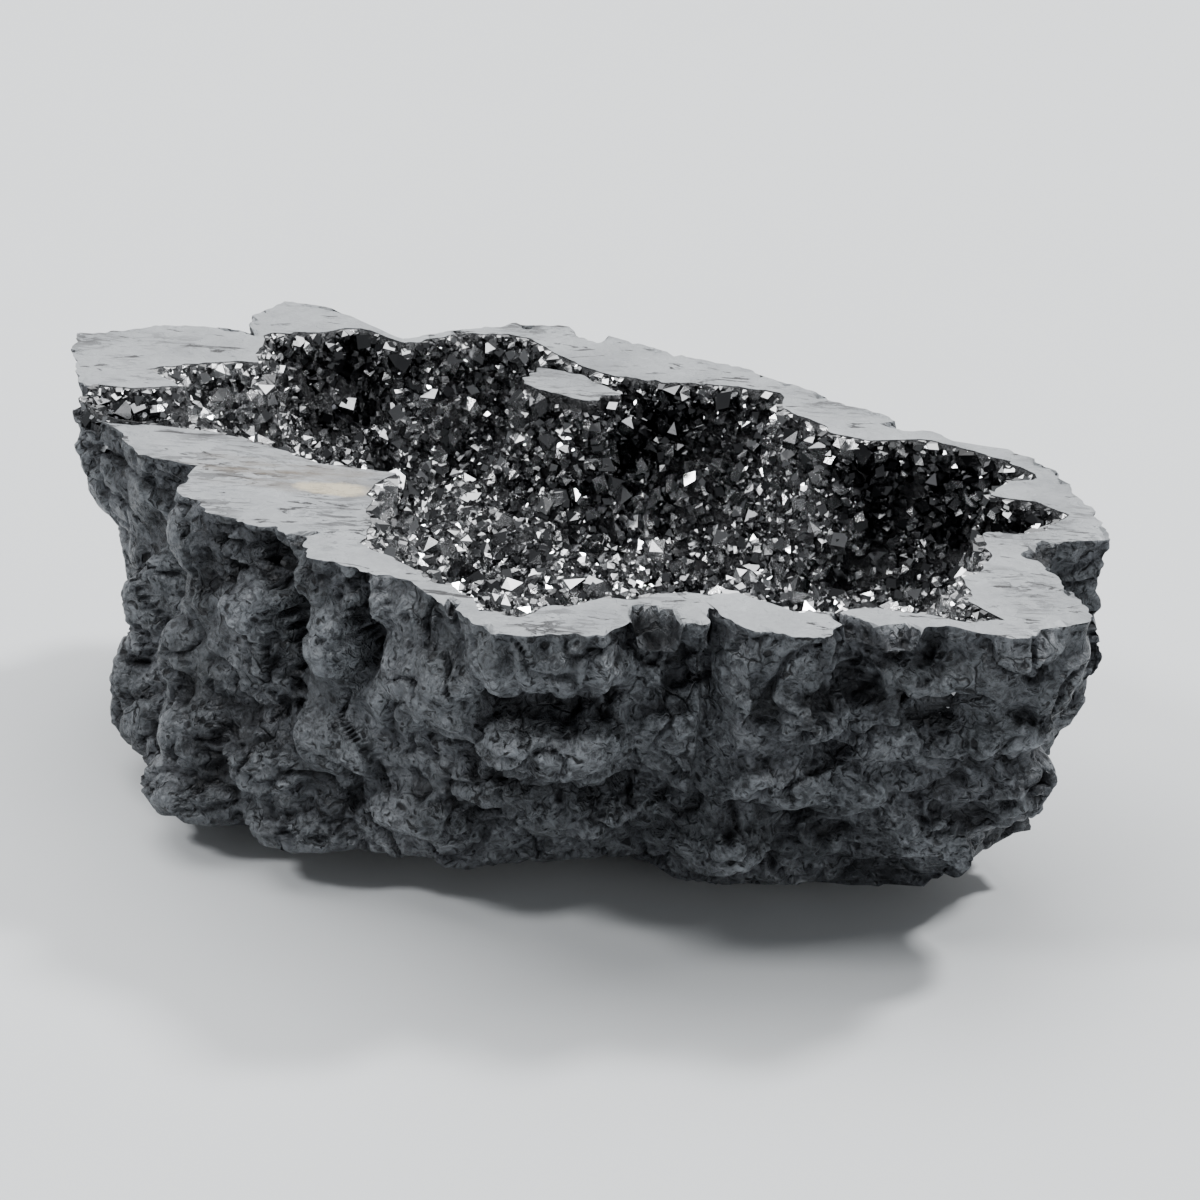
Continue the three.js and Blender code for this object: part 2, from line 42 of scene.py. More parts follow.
# The stone's own sizes in millimetres, the same values as in the part's source.
stone = {
    "cutHeight": 16.5,
    "footHeight": 2.5,
    "undersideLift": 0.8,
    "halfLength": 28.7,
    "halfWidth": 15.3,
    "centre": (2.0, 0.0),
    "wallCurve": 1.8,
    "wallSink": 0.5,
    "capFade": 1.2,
    "dentFade": 0.5,
    "hollowDepth": 7.2,
    "hollowWall": 7,
    "rim": [
        (-28.5, -2.5), (-26.2, 1.1), (-23.4, 2.9), (-22.2, 3.1), (-23.8, 4.9), (-24, 7.4),
        (-21.7, 8.3), (-18.6, 7.9), (-15.6, 7.3), (-14.2, 10.3), (-12.8, 12.7), (-10.2, 14.2),
        (-5.8, 14.4), (0.1, 15.3), (6.8, 14.8), (13, 14.3), (15.9, 15.1), (19.2, 14.4),
        (21.6, 12.3), (25.2, 9.4), (23.4, 7.7), (24.3, 5.1), (27.6, 3.2), (28.9, 1.9),
        (27.6, -1.7), (24.7, -2.7), (23.4, -4.6), (21.4, -4.6), (21.6, -6.9), (18.7, -8.3),
        (15.8, -7.6), (17, -9), (14.3, -10.3), (14.2, -12.5), (10.6, -15.4), (4.9, -14),
        (-0.9, -14.9), (-2.3, -13.5), (-7.3, -14.2), (-10.4, -13.4), (-11.8, -10.6),
        (-14.8, -11.5), (-18.2, -9.9), (-21.4, -9), (-23.7, -7.1), (-27, -4.3)],
    "foot": [
        (-23, -2), (-20, 2), (-14, 3), (-8, 8), (0, 11), (12, 10), (20, 9), (23.5, 7), (22.5, 4),
        (22.5, 0), (20, -0.5), (15.5, -3.5), (14.5, -6.5), (11, -6.5), (7, -10), (5, -13),
        (1, -14), (-2, -15.5), (-7.2, -16.2), (-11.8, -15.1), (-15.8, -12.6), (-18.4, -9.3),
        (-22, -6)],
    "mouth": [
        (26.1, -0.5), (23.8, 0.1), (22.5, 1.7), (22.1, 3.9), (20.7, 5.6), (20.4, 6.6),
        (21.6, 7.3), (22, 8.4), (21.9, 10.5), (19.7, 10.6), (17.9, 9.9), (17.8, 12),
        (18.6, 12.8), (17.5, 13.7), (14.5, 13.8), (11.9, 13.5), (10.1, 11.7), (8.5, 11.4),
        (4.5, 12.4), (3.3, 13.8), (1.9, 13.4), (-0.3, 12), (-4.1, 10.5), (-6.4, 10.2),
        (-10.8, 11.5), (-12, 11.3), (-14, 9.3), (-15, 6.9), (-18.2, 7.2), (-20, 4.6),
        (-21.2, 3.6), (-19, 0.5), (-20.7, -1.1), (-22.4, -3.6), (-19.5, -4.2), (-21.2, -6),
        (-23, -6.5), (-21.7, -8.3), (-19.8, -9.1), (-18, -8.9), (-13.9, -7.1), (-10.6, -6.8),
        (-7.6, -6.8), (-4.3, -5.4), (-3.8, -7.6), (-0.7, -10.8), (-0.2, -12.1), (2.7, -12.5),
        (5.1, -13), (6.1, -12.6), (8.6, -14), (10.2, -13.3), (10.3, -12), (12, -9.6),
        (13.8, -7.1), (15.9, -5.6), (18.7, -5.5), (21.2, -3), (24.8, -1.6)],
    "overhang": {"direction": 195, "spread": (10, 22), "curve": 1.6},
    # direction in degrees, height, half width, half height, tilt in degrees, proud; a dent
    # has a negative proud, and tilt raises the end that lies anticlockwise
    "wallLumps": [
        (201, 13.3, 2.8, 2.6, 0, 1.3), (216, 14, 2.6, 2.6, 0, -3.1), (212, 11.8, 1.4, 2.4, -20, -1.7),
        (214, 9.3, 1.6, 2.6, 0, 1), (214, 4.2, 3.4, 2.8, 0, 1.2), (229, 14.6, 1.6, 1.9, 0, 1),
        (232, 11.8, 1.2, 1.1, 0, 0.8), (226, 8.6, 1.9, 1.7, 20, 0.9), (244, 12.5, 1.8, 1.5, -20, 1.6),
        (247, 10, 0.9, 2.2, 15, 1), (244, 15.2, 1.4, 0.9, 0, -1.3), (252, 12.7, 1.2, 1.8, 0, -1.8),
        (255, 15.1, 0.9, 1.4, 0, 1), (263, 12.3, 1.3, 1.9, 0, 1.3), (269, 13.6, 0.9, 2.8, 0, -2),
        (274, 15.3, 1.2, 1.2, 0, 1.2), (281, 15, 1.4, 1.2, 0, 0.9), (286, 12.2, 3.2, 2.5, -12, 2.2),
        (276, 10.4, 1.7, 1.6, -40, 1), (239, 7.4, 3.2, 0.7, 0, -1), (235, 5.3, 2, 1.9, 0, 1.4),
        (249, 5.7, 2.5, 1.9, -15, 1.6), (236, 2.5, 3, 2, 0, 1.7), (255, 2.7, 2.6, 1.5, 0, 1.2),
        (262, 7.6, 2.4, 1.6, -20, 1.2), (280, 5, 3, 1.4, 0, 1.2), (294, 7.2, 3, 1.3, 8, 1),
        (297, 14.8, 1.3, 1.7, 0, 0.9), (303, 15, 0.9, 1.6, 0, 0.8), (309, 14.8, 1.3, 1.8, 0, 1),
        (315, 14.6, 1.2, 1.6, 0, 0.8), (302, 12.2, 4, 0.9, 3, -1.8), (314, 12.7, 2.2, 0.7, 8, -1.2),
        (306, 10.2, 4.3, 1.8, 3, 1.8), (308, 5.6, 3.6, 1.5, 0, 1.4), (319, 7, 2.6, 1.4, 0, -1.2),
        (322, 15.4, 2.2, 1.2, 0, -1.7), (327, 13.8, 0.9, 2.2, 0, -1.7), (323, 11, 2, 1.3, 15, 0.8),
        (333, 15.3, 1.5, 0.9, 0, 0.9), (333, 13.2, 1, 1.3, 0, 1), (339, 12.1, 1.2, 1.4, 10, 1.3),
        (344, 12, 1.2, 1.4, 10, 1.3), (347, 7.9, 3, 1.7, -12, 1.7), (337, 8.4, 2, 1.3, 0, 1),
        (335, 4.2, 2.6, 1.7, 0, 2), (348, 15.4, 2.4, 1, 0, -1.6), (352, 13.9, 2.4, 0.9, 24, 1.4),
        (358, 15.3, 2.2, 0.9, 22, 1), (355, 12, 1.9, 1.6, 35, -3.1), (359, 11.3, 2.2, 1, 40, 1.3),
        (2, 13.4, 1.2, 1.8, -30, 0.9), (4, 7.2, 2.9, 2.2, 0, 2), (358, 4.7, 2.6, 2.4, -30, 2.3),
        (348, 3.8, 2.6, 1, 0, 0.9), (6, 14.2, 1.6, 1.5, 0, 0.8)],
    "spreadLumps": {"count": 48, "directions": (10, 192), "heights": (1.5, 14.5),
                    "radius": (1.7, 3.1), "proud": (0.5, 1.2),
                    "steps": {"directions": 0.618, "heights": 0.7549, "radius": 0.5698,
                              "proud": 0.4142}},
    # x, y, radius, proud
    "restingLumps": [(-9, -8, 6.5, 1.4), (13, 1, 6.5, 1.4), (-1, 6, 5.5, 1.3), (3, -6, 5, 0.7)],
    # x, y, reach in x, reach in y, rise
    "floorShapes": [
        (-5.1, 7.9, 5.5, 4.4, 3), (-6, 2.5, 7, 3.6, 1.8), (-13, 4, 5, 4, -1), (3, 5, 6, 5, -1.2),
        (11, 2, 3, 7, 0.6), (17, 5, 5, 6, -1.4), (-19, -5, 8, 5, 4.6), (-2, -9, 4, 5, 4),
        (8, -13, 4, 4, 4.5), (20.5, 2.5, 4, 4, 3.5), (19, -4, 5, 3, 3.5)],
}


def mix(low, high, share):
    return low + (high - low) * share


def smooth(low, high, value):
    # smoothstep: t*t*(3 - 2t) of the clamped share t between low and high
    t = np.clip((value - low) / (high - low), 0, 1)
    return t * t * (3 - 2 * t)


scramble = (374761393, 668265263, 974634777, 1274126177)  # large odd numbers that mix well


def cellHash(cell, seed):
    # whole-number scramble of a cell's three indices, as a share from 0 to 1
    n = (cell[..., 0] * scramble[0] + cell[..., 1] * scramble[1] + cell[..., 2] * scramble[2]
         + seed * scramble[3]) & 0xffffffff
    n = ((n ^ (n >> 13)) * scramble[3]) & 0xffffffff
    n = ((n ^ (n >> 16)) * scramble[1]) & 0xffffffff
    return ((n ^ (n >> 15)) & 0xffffff) / float(0x1000000)


def cellVector(cell, seed):
    # three separate shares for each cell
    return np.stack([cellHash(cell, seed + k) for k in range(3)], axis=-1)


def valueNoise(points, size, seed):
    # random values on a lattice of the given size, blended smoothly between its corners
    scaled = points / size
    cell = np.floor(scaled).astype(np.int64)
    t = scaled - cell
    t = t * t * (3 - 2 * t)
    total = np.zeros(points.shape[:-1])
    for corner in np.ndindex(2, 2, 2):
        weight = np.prod(np.where(np.array(corner), t, 1 - t), axis=-1)
        total += weight * cellHash(cell + np.array(corner), seed)
    return total * 2 - 1


def pebbles(points, size, seed):
    # distances to the nearest and second nearest of one random seed point in each lattice cell
    scaled = points / size
    cell = np.floor(scaled).astype(np.int64)
    near = np.full(points.shape[:-1], 9.0)
    second = near.copy()
    for offset in np.ndindex(3, 3, 3):
        at = cell + np.array(offset) - 1
        far = np.linalg.norm(scaled - (at + cellVector(at, seed + 1)), axis=-1)
        second = np.minimum(second, np.maximum(near, far))
        near = np.minimum(near, far)
    return near, second


def chips(points, size, seed):
    # height of a randomly tilted plane through the nearest random seed point, so that
    # neighbouring planes meet in sharp steps
    scaled = points / size
    cell = np.floor(scaled).astype(np.int64)
    near = np.full(points.shape[:-1], 9.0)
    plane = np.zeros(points.shape[:-1])
    for offset in np.ndindex(3, 3, 3):
        at = cell + np.array(offset) - 1
        away = scaled - at - cellVector(at, seed + 1)
        tilt = cellVector(at, seed + 4) * 2 - 1
        far = np.linalg.norm(away, axis=-1)
        height = (away * tilt).sum(axis=-1) + cellHash(at, seed + 7) - 0.5
        plane = np.where(far < near, height, plane)
        near = np.minimum(near, far)
    return plane


def gridNormals(grid):
    # cross product of the differences along both grid directions; columns close on themselves
    along = np.roll(grid, -1, axis=1) - np.roll(grid, 1, axis=1)
    up = np.gradient(grid, axis=0)
    normal = np.cross(along, up)
    return normal / np.maximum(np.linalg.norm(normal, axis=-1, keepdims=True), 1e-9)


def blurred(values, times):
    # weights 1, 2, 1 along columns and rows, so that steep lump edges spread over a few cells
    for _ in range(times):
        values = (np.roll(values, 1, axis=1) + 2 * values + np.roll(values, -1, axis=1)) / 4
        values[1:-1] = (values[:-2] + 2 * values[1:-1] + values[2:]) / 4
    return values


def columnAngles(columns, gather=0.0, front=294):
    # angle of the point (halfLength cos t, halfWidth sin t), so columns are evenly spaced, or
    # closer together by the gather share round the front, t less gather * sin(t - front)
    t = 2 * math.pi * np.arange(columns) / columns
    t = t - gather * np.sin(t - math.radians(front))
    return np.arctan2(stone["halfWidth"] * np.sin(t), stone["halfLength"] * np.cos(t))


def reach(outline, angle):
    # farthest crossing of each ray from the hollow's centre with the outline's edges
    start = np.array(outline, float) - np.array(stone["centre"])
    edge = np.roll(start, -1, axis=0) - start
    dx, dy = np.cos(angle)[..., None], np.sin(angle)[..., None]
    cross = dx * edge[:, 1] - dy * edge[:, 0]
    cross = np.where(np.abs(cross) < 1e-9, 1e-9, cross)
    along = (start[:, 0] * edge[:, 1] - start[:, 1] * edge[:, 0]) / cross
    part = (start[:, 0] * dy - start[:, 1] * dx) / cross
    return np.max(np.where((part >= 0) & (part <= 1), along, 0), axis=-1)


def planPoints(angle, radius, height):
    # centre + radius * (cos angle, sin angle), at the given height
    x = stone["centre"][0] + radius * np.cos(angle)
    y = stone["centre"][1] + radius * np.sin(angle)
    return np.stack([x, y, np.broadcast_to(height, x.shape)], axis=-1)


def wallPoints(angle, height):
    # radius goes from the foot's to the rim's as 1 - (1 - rise)^wallCurve, and as rise^curve
    # round the left end, which leans out only near its top
    rise = np.clip((height - stone["footHeight"]) / (stone["cutHeight"] - stone["footHeight"]), 0, 1)
    upright = 1 - (1 - rise) ** stone["wallCurve"]
    hang = stone["overhang"]
    share = 1 - smooth(*hang["spread"], np.abs(np.degrees(angle) % 360 - hang["direction"]))
    lean = mix(upright, rise ** hang["curve"], share)
    radius = mix(reach(stone["foot"], angle), reach(stone["rim"], angle), lean)
    return planPoints(angle, radius, height)


def undersidePoints(angle, share):
    # height goes from the lift to the foot as 1 - sqrt(1 - share^4)
    turn = 1 - np.sqrt(np.clip(1 - share ** 4, 0, 1))
    height = mix(stone["undersideLift"], stone["footHeight"], turn)
    return planPoints(angle, share * reach(stone["foot"], angle), height)


def placedLumps(lumps):
    # each lump's middle on the plain wall, and its three axes divided by its half sizes
    direction, height, width, tall, tilt, proud = np.array(lumps, float).T
    angle, tilt = np.radians(direction), np.radians(tilt)
    flat = np.zeros(len(angle))
    along = np.stack([-np.sin(angle), np.cos(angle), flat], axis=-1)
    out = np.stack([np.cos(angle), np.sin(angle), flat], axis=-1)
    up = np.array([0, 0, 1.0])
    wide = along * np.cos(tilt)[:, None] + up * np.sin(tilt)[:, None]
    high = up * np.cos(tilt)[:, None] - along * np.sin(tilt)[:, None]
    deep = np.maximum(width, tall)
    axes = np.stack([wide / width[:, None], high / tall[:, None], out / deep[:, None]], axis=1)
    return wallPoints(angle, np.maximum(height, stone["footHeight"])), axes, proud


def allLumps():
    # the named lumps, the evenly spread ones, whose values go round by uneven steps, and those
    # that the stone rests on
    spread = stone["spreadLumps"]
    values = {key: mix(*spread[key], (np.arange(spread["count"]) * step) % 1)
              for key, step in spread["steps"].items()}
    size = values["radius"]
    evenly = [values["directions"], values["heights"], size, size, 0 * size, values["proud"]]
    at, axes, proud = placedLumps(np.concatenate([stone["wallLumps"], np.stack(evenly, axis=1)]))
    rest = np.array(stone["restingLumps"], float)
    restAt = np.concatenate([rest[:, :2], np.full((len(rest), 1), stone["undersideLift"])], axis=1)
    restAxes = np.eye(3) / rest[:, 2, None, None]
    together = ((at, restAt), (axes, restAxes), (proud, rest[:, 3]))
    return [np.concatenate(pair) for pair in together]


def lumpPush(points, lumps):
    # the proudest cap, proud * (1 - d^2)^0.6, dying out towards the rim, less the deepest
    # dent, proud * (1 - d^2), which runs up close under it
    cap = np.zeros(points.shape[:-1])
    dent = np.zeros(points.shape[:-1])
    for at, axes, proud in zip(*lumps):
        near = np.clip(1 - (((points - at) @ axes.T) ** 2).sum(axis=-1), 0, 1)
        if proud > 0:
            cap = np.maximum(cap, proud * near ** 0.6)
        else:
            dent = np.minimum(dent, proud * near)
    below = stone["cutHeight"] - points[..., 2]
    return cap * smooth(0, stone["capFade"], below) + dent * smooth(0, stone["dentFade"], below)


def depthAt(x, y):
    # the plain depth less each rise, rise * (1 - d^2)^2 inside its reach
    depth = np.full(x.shape, float(stone["hollowDepth"]))
    for cx, cy, rx, ry, rise in stone["floorShapes"]:
        across = ((x - cx) / rx) ** 2 + ((y - cy) / ry) ** 2
        depth -= rise * np.clip(1 - across, 0, 1) ** 2
    return depth


def addPiece(name, points, faces, materials, nodeName, faceMaterial=None, smoothFaces=True):
    # triangles from points in millimetres, moved to the row's frame
    mesh = bpy.data.meshes.new(name)
    mesh.vertices.add(len(points))
    mesh.vertices.foreach_set("co", ((points + settled) * mm).astype(np.float32).ravel())
    mesh.loops.add(faces.size)
    mesh.loops.foreach_set("vertex_index", faces.astype(np.int32).ravel())
    mesh.polygons.add(len(faces))
    mesh.polygons.foreach_set("loop_start", (3 * np.arange(len(faces))).astype(np.int32))
    mesh.update(calc_edges=True)
    mesh.polygons.foreach_set("use_smooth", np.full(len(faces), smoothFaces))
    for material in materials:
        mesh.materials.append(material)
    if faceMaterial is not None:
        mesh.polygons.foreach_set("material_index", faceMaterial.astype(np.int32))
    mesh.validate()
    mesh.update()
    piece = bpy.data.objects.new(name, mesh)
    bpy.context.scene.collection.objects.link(piece)
    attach(piece, "root")
    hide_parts(nodeName)
    return piece


def addValues(piece, name, values):
    attribute = piece.data.attributes.new(name, "FLOAT", "POINT")
    attribute.data.foreach_set("value", values.astype(np.float32).ravel())


def closedFaces(rows, columns):
    # triangles of a grid closed round its columns, with a pole point before the first row
    # and one after the last; rows run upwards over the outside
    row, column = np.meshgrid(np.arange(rows - 1), np.arange(columns), indexing="ij")
    following = (column + 1) % columns
    a = 1 + row * columns + column
    b = 1 + row * columns + following
    c = b + columns
    d = a + columns
    body = np.concatenate([np.stack([a, b, c], -1), np.stack([a, c, d], -1)]).reshape(-1, 3)
    ring = np.arange(columns)
    beside = (ring + 1) % columns
    low = np.stack([np.zeros(columns, int), 1 + beside, 1 + ring], -1)
    start = 1 + (rows - 1) * columns
    high = np.stack([start + ring, start + beside, np.full(columns, 1 + rows * columns)], -1)
    faces = np.concatenate([low, body, high])
    bodyRow = np.concatenate([row, row]).ravel()
    return faces, np.concatenate([np.zeros(columns), bodyRow, np.full(columns, rows - 1)])


def newMaterial(name):
    material = bpy.data.materials.new(name)
    material.use_nodes = True
    return material, material.node_tree, material.node_tree.nodes["Principled BSDF"]


def feed(tree, socket, value):
    # links another node's output, or sets a number, a vector or a colour without its alpha
    if isinstance(value, bpy.types.NodeSocket):
        tree.links.new(value, socket)
    elif isinstance(value, tuple) and len(value) < len(socket.default_value):
        socket.default_value = (*value, 1)
    else:
        socket.default_value = value


def addNode(tree, kind, inputs, **settings):
    node = tree.nodes.new("ShaderNode" + kind)
    for name, setting in settings.items():
        setattr(node, name, setting)
    for key, value in inputs.items():
        feed(tree, node.inputs[key], value)
    return node


def ramp(tree, value, stops):
    # each stop is a place and a colour, or one number for a grey
    node = addNode(tree, "ValToRGB", {"Fac": value})
    elements = node.color_ramp.elements
    while len(elements) < len(stops):
        elements.new(0.5)
    for element, (place, colour) in zip(elements, stops):
        element.position = place
        element.color = (*colour, 1) if isinstance(colour, tuple) else (colour, colour, colour, 1)
    return node.outputs["Color"]


def noise(tree, vector, scale, detail=6, roughness=0.6, distortion=0.0, output="Fac"):
    inputs = {"Vector": vector, "Scale": scale, "Detail": detail, "Roughness": roughness,
              "Distortion": distortion}
    return addNode(tree, "TexNoise", inputs).outputs[output]


def mathNode(tree, operation, *values, clamp=False):
    node = addNode(tree, "Math", dict(enumerate(values)), operation=operation, use_clamp=clamp)
    return node.outputs[0]


def above(tree, value, level, steepness):
    # (value - level) * steepness, held between 0 and 1
    return mathNode(tree, "MULTIPLY", mathNode(tree, "SUBTRACT", value, level), steepness, clamp=True)


def vectorNode(tree, operation, inputs, output="Vector"):
    return addNode(tree, "VectorMath", inputs, operation=operation).outputs[output]


def mixColour(tree, factor, first, second, blend="MIX"):
    inputs = {0: factor, 6: first, 7: second}  # the numbers of the Mix node's colour sockets
    return addNode(tree, "Mix", inputs, data_type="RGBA", blend_type=blend).outputs[2]


def chipped(tree, vector, scale):
    # height of a randomly tilted plane through each cell's seed point
    cells = addNode(tree, "TexVoronoi", {"Vector": vector, "Scale": scale})
    away = vectorNode(tree, "SUBTRACT", {0: vector, 1: cells.outputs["Position"]})
    away = vectorNode(tree, "SCALE", {0: away, "Scale": scale})
    tilt = vectorNode(tree, "SUBTRACT", {0: cells.outputs["Color"], 1: (0.5, 0.5, 0.5)})
    return vectorNode(tree, "DOT_PRODUCT", {0: away, 1: tilt}, "Value")


# Scales count cells per metre. A mark is a level and the steepness with which it sets in.
mineral = {
    "warpScale": 1500, "warp": 0.0006,
    # scale, detail, roughness and distortion of each noise
    "patches": (260, 5, 0.6, 0.3), "grain": (2600, 6, 0.74, 0.3), "specks": (2600, 3, 0.5, 0.8),
    "folds": (1150, 6, 0.68, 0.5), "holed": (500, 2), "cracked": (420, 2),
    "speckMark": (0.57, 9.0), "holedMark": (0.48, 8.0), "crackedMark": (0.52, 9.0),
    # scale, size and edge of the pinholes and cracks, scale and height of the chips
    "pinholes": (1500, 0.3, 8.0), "cracks": (900, 0.05, 22.0),
    "chips": [(2100, 2.0), (4800, 1.2)], "grainHeight": 0.8, "foldHeight": 0.6}


def nearby(tree, vector, feature, settings, where):
    # (size - distance) * edge, held between 0 and 1, in the places named; the distance is the
    # one to the nearest cell's seed point or border
    scale, size, edge = settings
    cells = addNode(tree, "TexVoronoi", {"Vector": vector, "Scale": scale}, feature=feature)
    near = mathNode(tree, "SUBTRACT", size, cells.outputs["Distance"])
    return mathNode(tree, "MULTIPLY", mathNode(tree, "MULTIPLY", near, edge, clamp=True), where)


def makeGrainGroup():
    # mineral grain: coarse patches, fine grain, folded ridges and pits, and one height of them all
    tree = bpy.data.node_groups.new("mineralGrain", "ShaderNodeTree")
    tree.interface.new_socket("Vector", in_out="INPUT", socket_type="NodeSocketVector")
    scale = tree.interface.new_socket("Grain Scale", in_out="INPUT", socket_type="NodeSocketFloat")
    scale.default_value = 1.0
    for name in ("Patches", "Grain", "Pits", "Ridges", "Height"):
        tree.interface.new_socket(name, in_out="OUTPUT", socket_type="NodeSocketFloat")
    source = tree.nodes.new("NodeGroupInput").outputs
    result = tree.nodes.new("NodeGroupOutput")
    plain = vectorNode(tree, "SCALE", {0: source["Vector"], "Scale": source["Grain Scale"]})
    # the place is warped a little, so that no cell border runs straight
    wander = noise(tree, plain, mineral["warpScale"], 2, 0.5, output="Color")
    shift = vectorNode(tree, "SUBTRACT", {0: wander, 1: (0.5, 0.5, 0.5)})
    shift = vectorNode(tree, "SCALE", {0: shift, "Scale": mineral["warp"]})
    vector = vectorNode(tree, "ADD", {0: plain, 1: shift})
    patches = noise(tree, vector, *mineral["patches"])
    grain = noise(tree, vector, *mineral["grain"])
    specks = above(tree, noise(tree, vector, *mineral["specks"]), *mineral["speckMark"])
    # folded ridges, 1 - |2n - 1| of a noise n
    folded = mathNode(tree, "MULTIPLY_ADD", noise(tree, vector, *mineral["folds"]), 2.0, -1.0)
    ridges = mathNode(tree, "SUBTRACT", 1.0, mathNode(tree, "ABSOLUTE", folded))
    # round pinholes at random seed points, and cracks along some cell borders
    holed = above(tree, noise(tree, vector, *mineral["holed"]), *mineral["holedMark"])
    holes = nearby(tree, vector, "F1", mineral["pinholes"], holed)
    cracked = above(tree, noise(tree, vector, *mineral["cracked"]), *mineral["crackedMark"])
    cracks = nearby(tree, vector, "DISTANCE_TO_EDGE", mineral["cracks"], cracked)
    pits = mathNode(tree, "MAXIMUM", mathNode(tree, "MAXIMUM", specks, holes), cracks)
    height = mathNode(tree, "MULTIPLY", grain, mineral["grainHeight"])
    for size, tall in mineral["chips"]:
        height = mathNode(tree, "MULTIPLY_ADD", chipped(tree, vector, size), tall, height)
    height = mathNode(tree, "MULTIPLY_ADD", ridges, mineral["foldHeight"], height)
    height = mathNode(tree, "SUBTRACT", height, pits)
    values = {"Patches": patches, "Grain": grain, "Pits": pits, "Ridges": ridges, "Height": height}
    for name, value in values.items():
        tree.links.new(value, result.inputs[name])
    return tree


grainGroup = makeGrainGroup()


def grainNode(tree, scale):
    # the grain group on Object coordinates, and those coordinates
    place = addNode(tree, "TexCoord", {}).outputs["Object"]
    inputs = {"Vector": place, "Grain Scale": scale}
    return addNode(tree, "Group", inputs, node_tree=grainGroup).outputs, place


def bumped(tree, shader, height, distance, strength):
    bump = addNode(tree, "Bump", {"Strength": strength, "Distance": distance, "Height": height})
    tree.links.new(bump.outputs["Normal"], shader.inputs["Normal"])


def attributeValue(tree, name):
    return addNode(tree, "Attribute", {}, attribute_name=name).outputs["Fac"]


# In each finish, roughness is a change with the grain and a least value, bump is a distance in
# metres and a strength, and the stops give the tint at rising values of grain, ridges or relief.
skin = {"dark": (0.009, 0.010, 0.012), "plain": (0.07, 0.077, 0.084), "worn": (0.118, 0.128, 0.139),
        "pale": (0.2, 0.213, 0.228), "metallic": 0.4, "grainScale": 0.8, "roughness": (0.4, 0.26),
        "bump": (0.00032, 0.8), "patchStops": (0.34, 0.5, 0.68),
        "grainStops": [(0.4, (0.08, 0.08, 0.09)), (0.49, 0.85), (0.62, 1.3)], "grainShare": 0.75,
        "ridgeStops": [(0.45, (0.3, 0.3, 0.31)), (0.75, (0.85, 0.85, 0.86)), (0.95, 1.25)],
        "ridgeShare": 0.6,
        "reliefStops": [(0.15, (0.24, 0.24, 0.25)), (0.4, (0.6, 0.6, 0.62)), (0.6, 1.0), (0.85, 1.5)]}


def makeSkinMaterial():
    material, tree, shader = newMaterial("weatheredCoat")
    grain, _ = grainNode(tree, skin["grainScale"])
    patches = zip(skin["patchStops"], (skin["plain"], skin["worn"], skin["pale"]))
    colour = ramp(tree, grain["Patches"], list(patches))
    speckled = ramp(tree, grain["Grain"], skin["grainStops"])
    colour = mixColour(tree, skin["grainShare"], colour, speckled, "MULTIPLY")
    ridged = ramp(tree, grain["Ridges"], skin["ridgeStops"])
    colour = mixColour(tree, skin["ridgeShare"], colour, ridged, "MULTIPLY")
    # creases, crevices and pits of the relief are painted darker, a painted shade, and its tops are
    # rubbed lighter
    relief = ramp(tree, attributeValue(tree, "relief"), skin["reliefStops"])
    colour = mixColour(tree, 1.0, colour, relief, "MULTIPLY")
    # dark specks, and pinholes and cracks painted near black, a painted shade inside them
    feed(tree, shader.inputs["Base Color"], mixColour(tree, grain["Pits"], colour, skin["dark"]))
    rough = mathNode(tree, "MULTIPLY_ADD", grain["Grain"], *skin["roughness"])
    feed(tree, shader.inputs["Roughness"], rough)
    shader.inputs["Metallic"].default_value = skin["metallic"]
    bumped(tree, shader, grain["Height"], *skin["bump"])
    return material


cutFace = {"plain": (0.285, 0.3, 0.313), "shade": (0.2, 0.211, 0.222), "pale": (0.35, 0.367, 0.382),
           "open": (0.035, 0.035, 0.038), "cream": (0.43, 0.38, 0.28), "brown": (0.13, 0.108, 0.083),
           "metallic": 0.25, "grainScale": 0.8, "roughness": (0.3, 0.36), "bump": (0.00009, 0.7),
           "patchStops": (0.3, 0.5, 0.72), "grainStops": [(0.36, (0.6, 0.6, 0.62)), (0.6, 1.1)],
           "grainShare": 0.3, "grainHeight": 0.5, "markDepth": 1.4,
           # place, half sizes and turn of the cream patch, the brown streaks and the most worn area
           "creamAt": ((-5.8, -8.9), (2, 0.8), 25), "brownAt": ((-8, -8.6), (6, 2.6), 25),
           "wornAt": ((-11, -10), (6, 3.2), 25), "wornNoise": (130, 3), "wornMark": (0.5, 6.0),
           "creamRagged": 3.0, "creamEdge": 2.5, "brownEdge": 1.5, "brownShare": 0.95,
           # direction, stretch, noise and mark of the scratches, pits, single pits and brown streaks
           "scratches": (30, (0.35, 1.7), (2000, 5, 0.6, 0.3), (0.56, 30.0)),
           "pits": (36, (0.5, 1.5), (1000, 6, 0.65, 0.9), (0.55, 40.0)),
           "single": (30, (0.45, 1.5), (800, 6, 0.66, 0.9), (0.605, 45.0)),
           "streaks": (25, (0.4, 1.5), (600, 4), (0.44, 5.0))}


def mapped(tree, place, turn, scale, middle=(0.0, 0.0, 0.0)):
    # the place read in a frame with its own middle, turned and stretched
    rotation = (0.0, 0.0, math.radians(turn))
    inputs = {"Vector": place, "Location": middle, "Rotation": rotation, "Scale": scale}
    return addNode(tree, "Mapping", inputs, vector_type="TEXTURE").outputs["Vector"]


def streaked(tree, place, turn, stretch, texture, mark):
    # a noise read in a turned and stretched frame runs in streaks; what rises above a level shows
    vector = mapped(tree, place, turn, (1 / stretch[0], 1 / stretch[1], 1.0))
    return above(tree, noise(tree, vector, *texture), *mark)


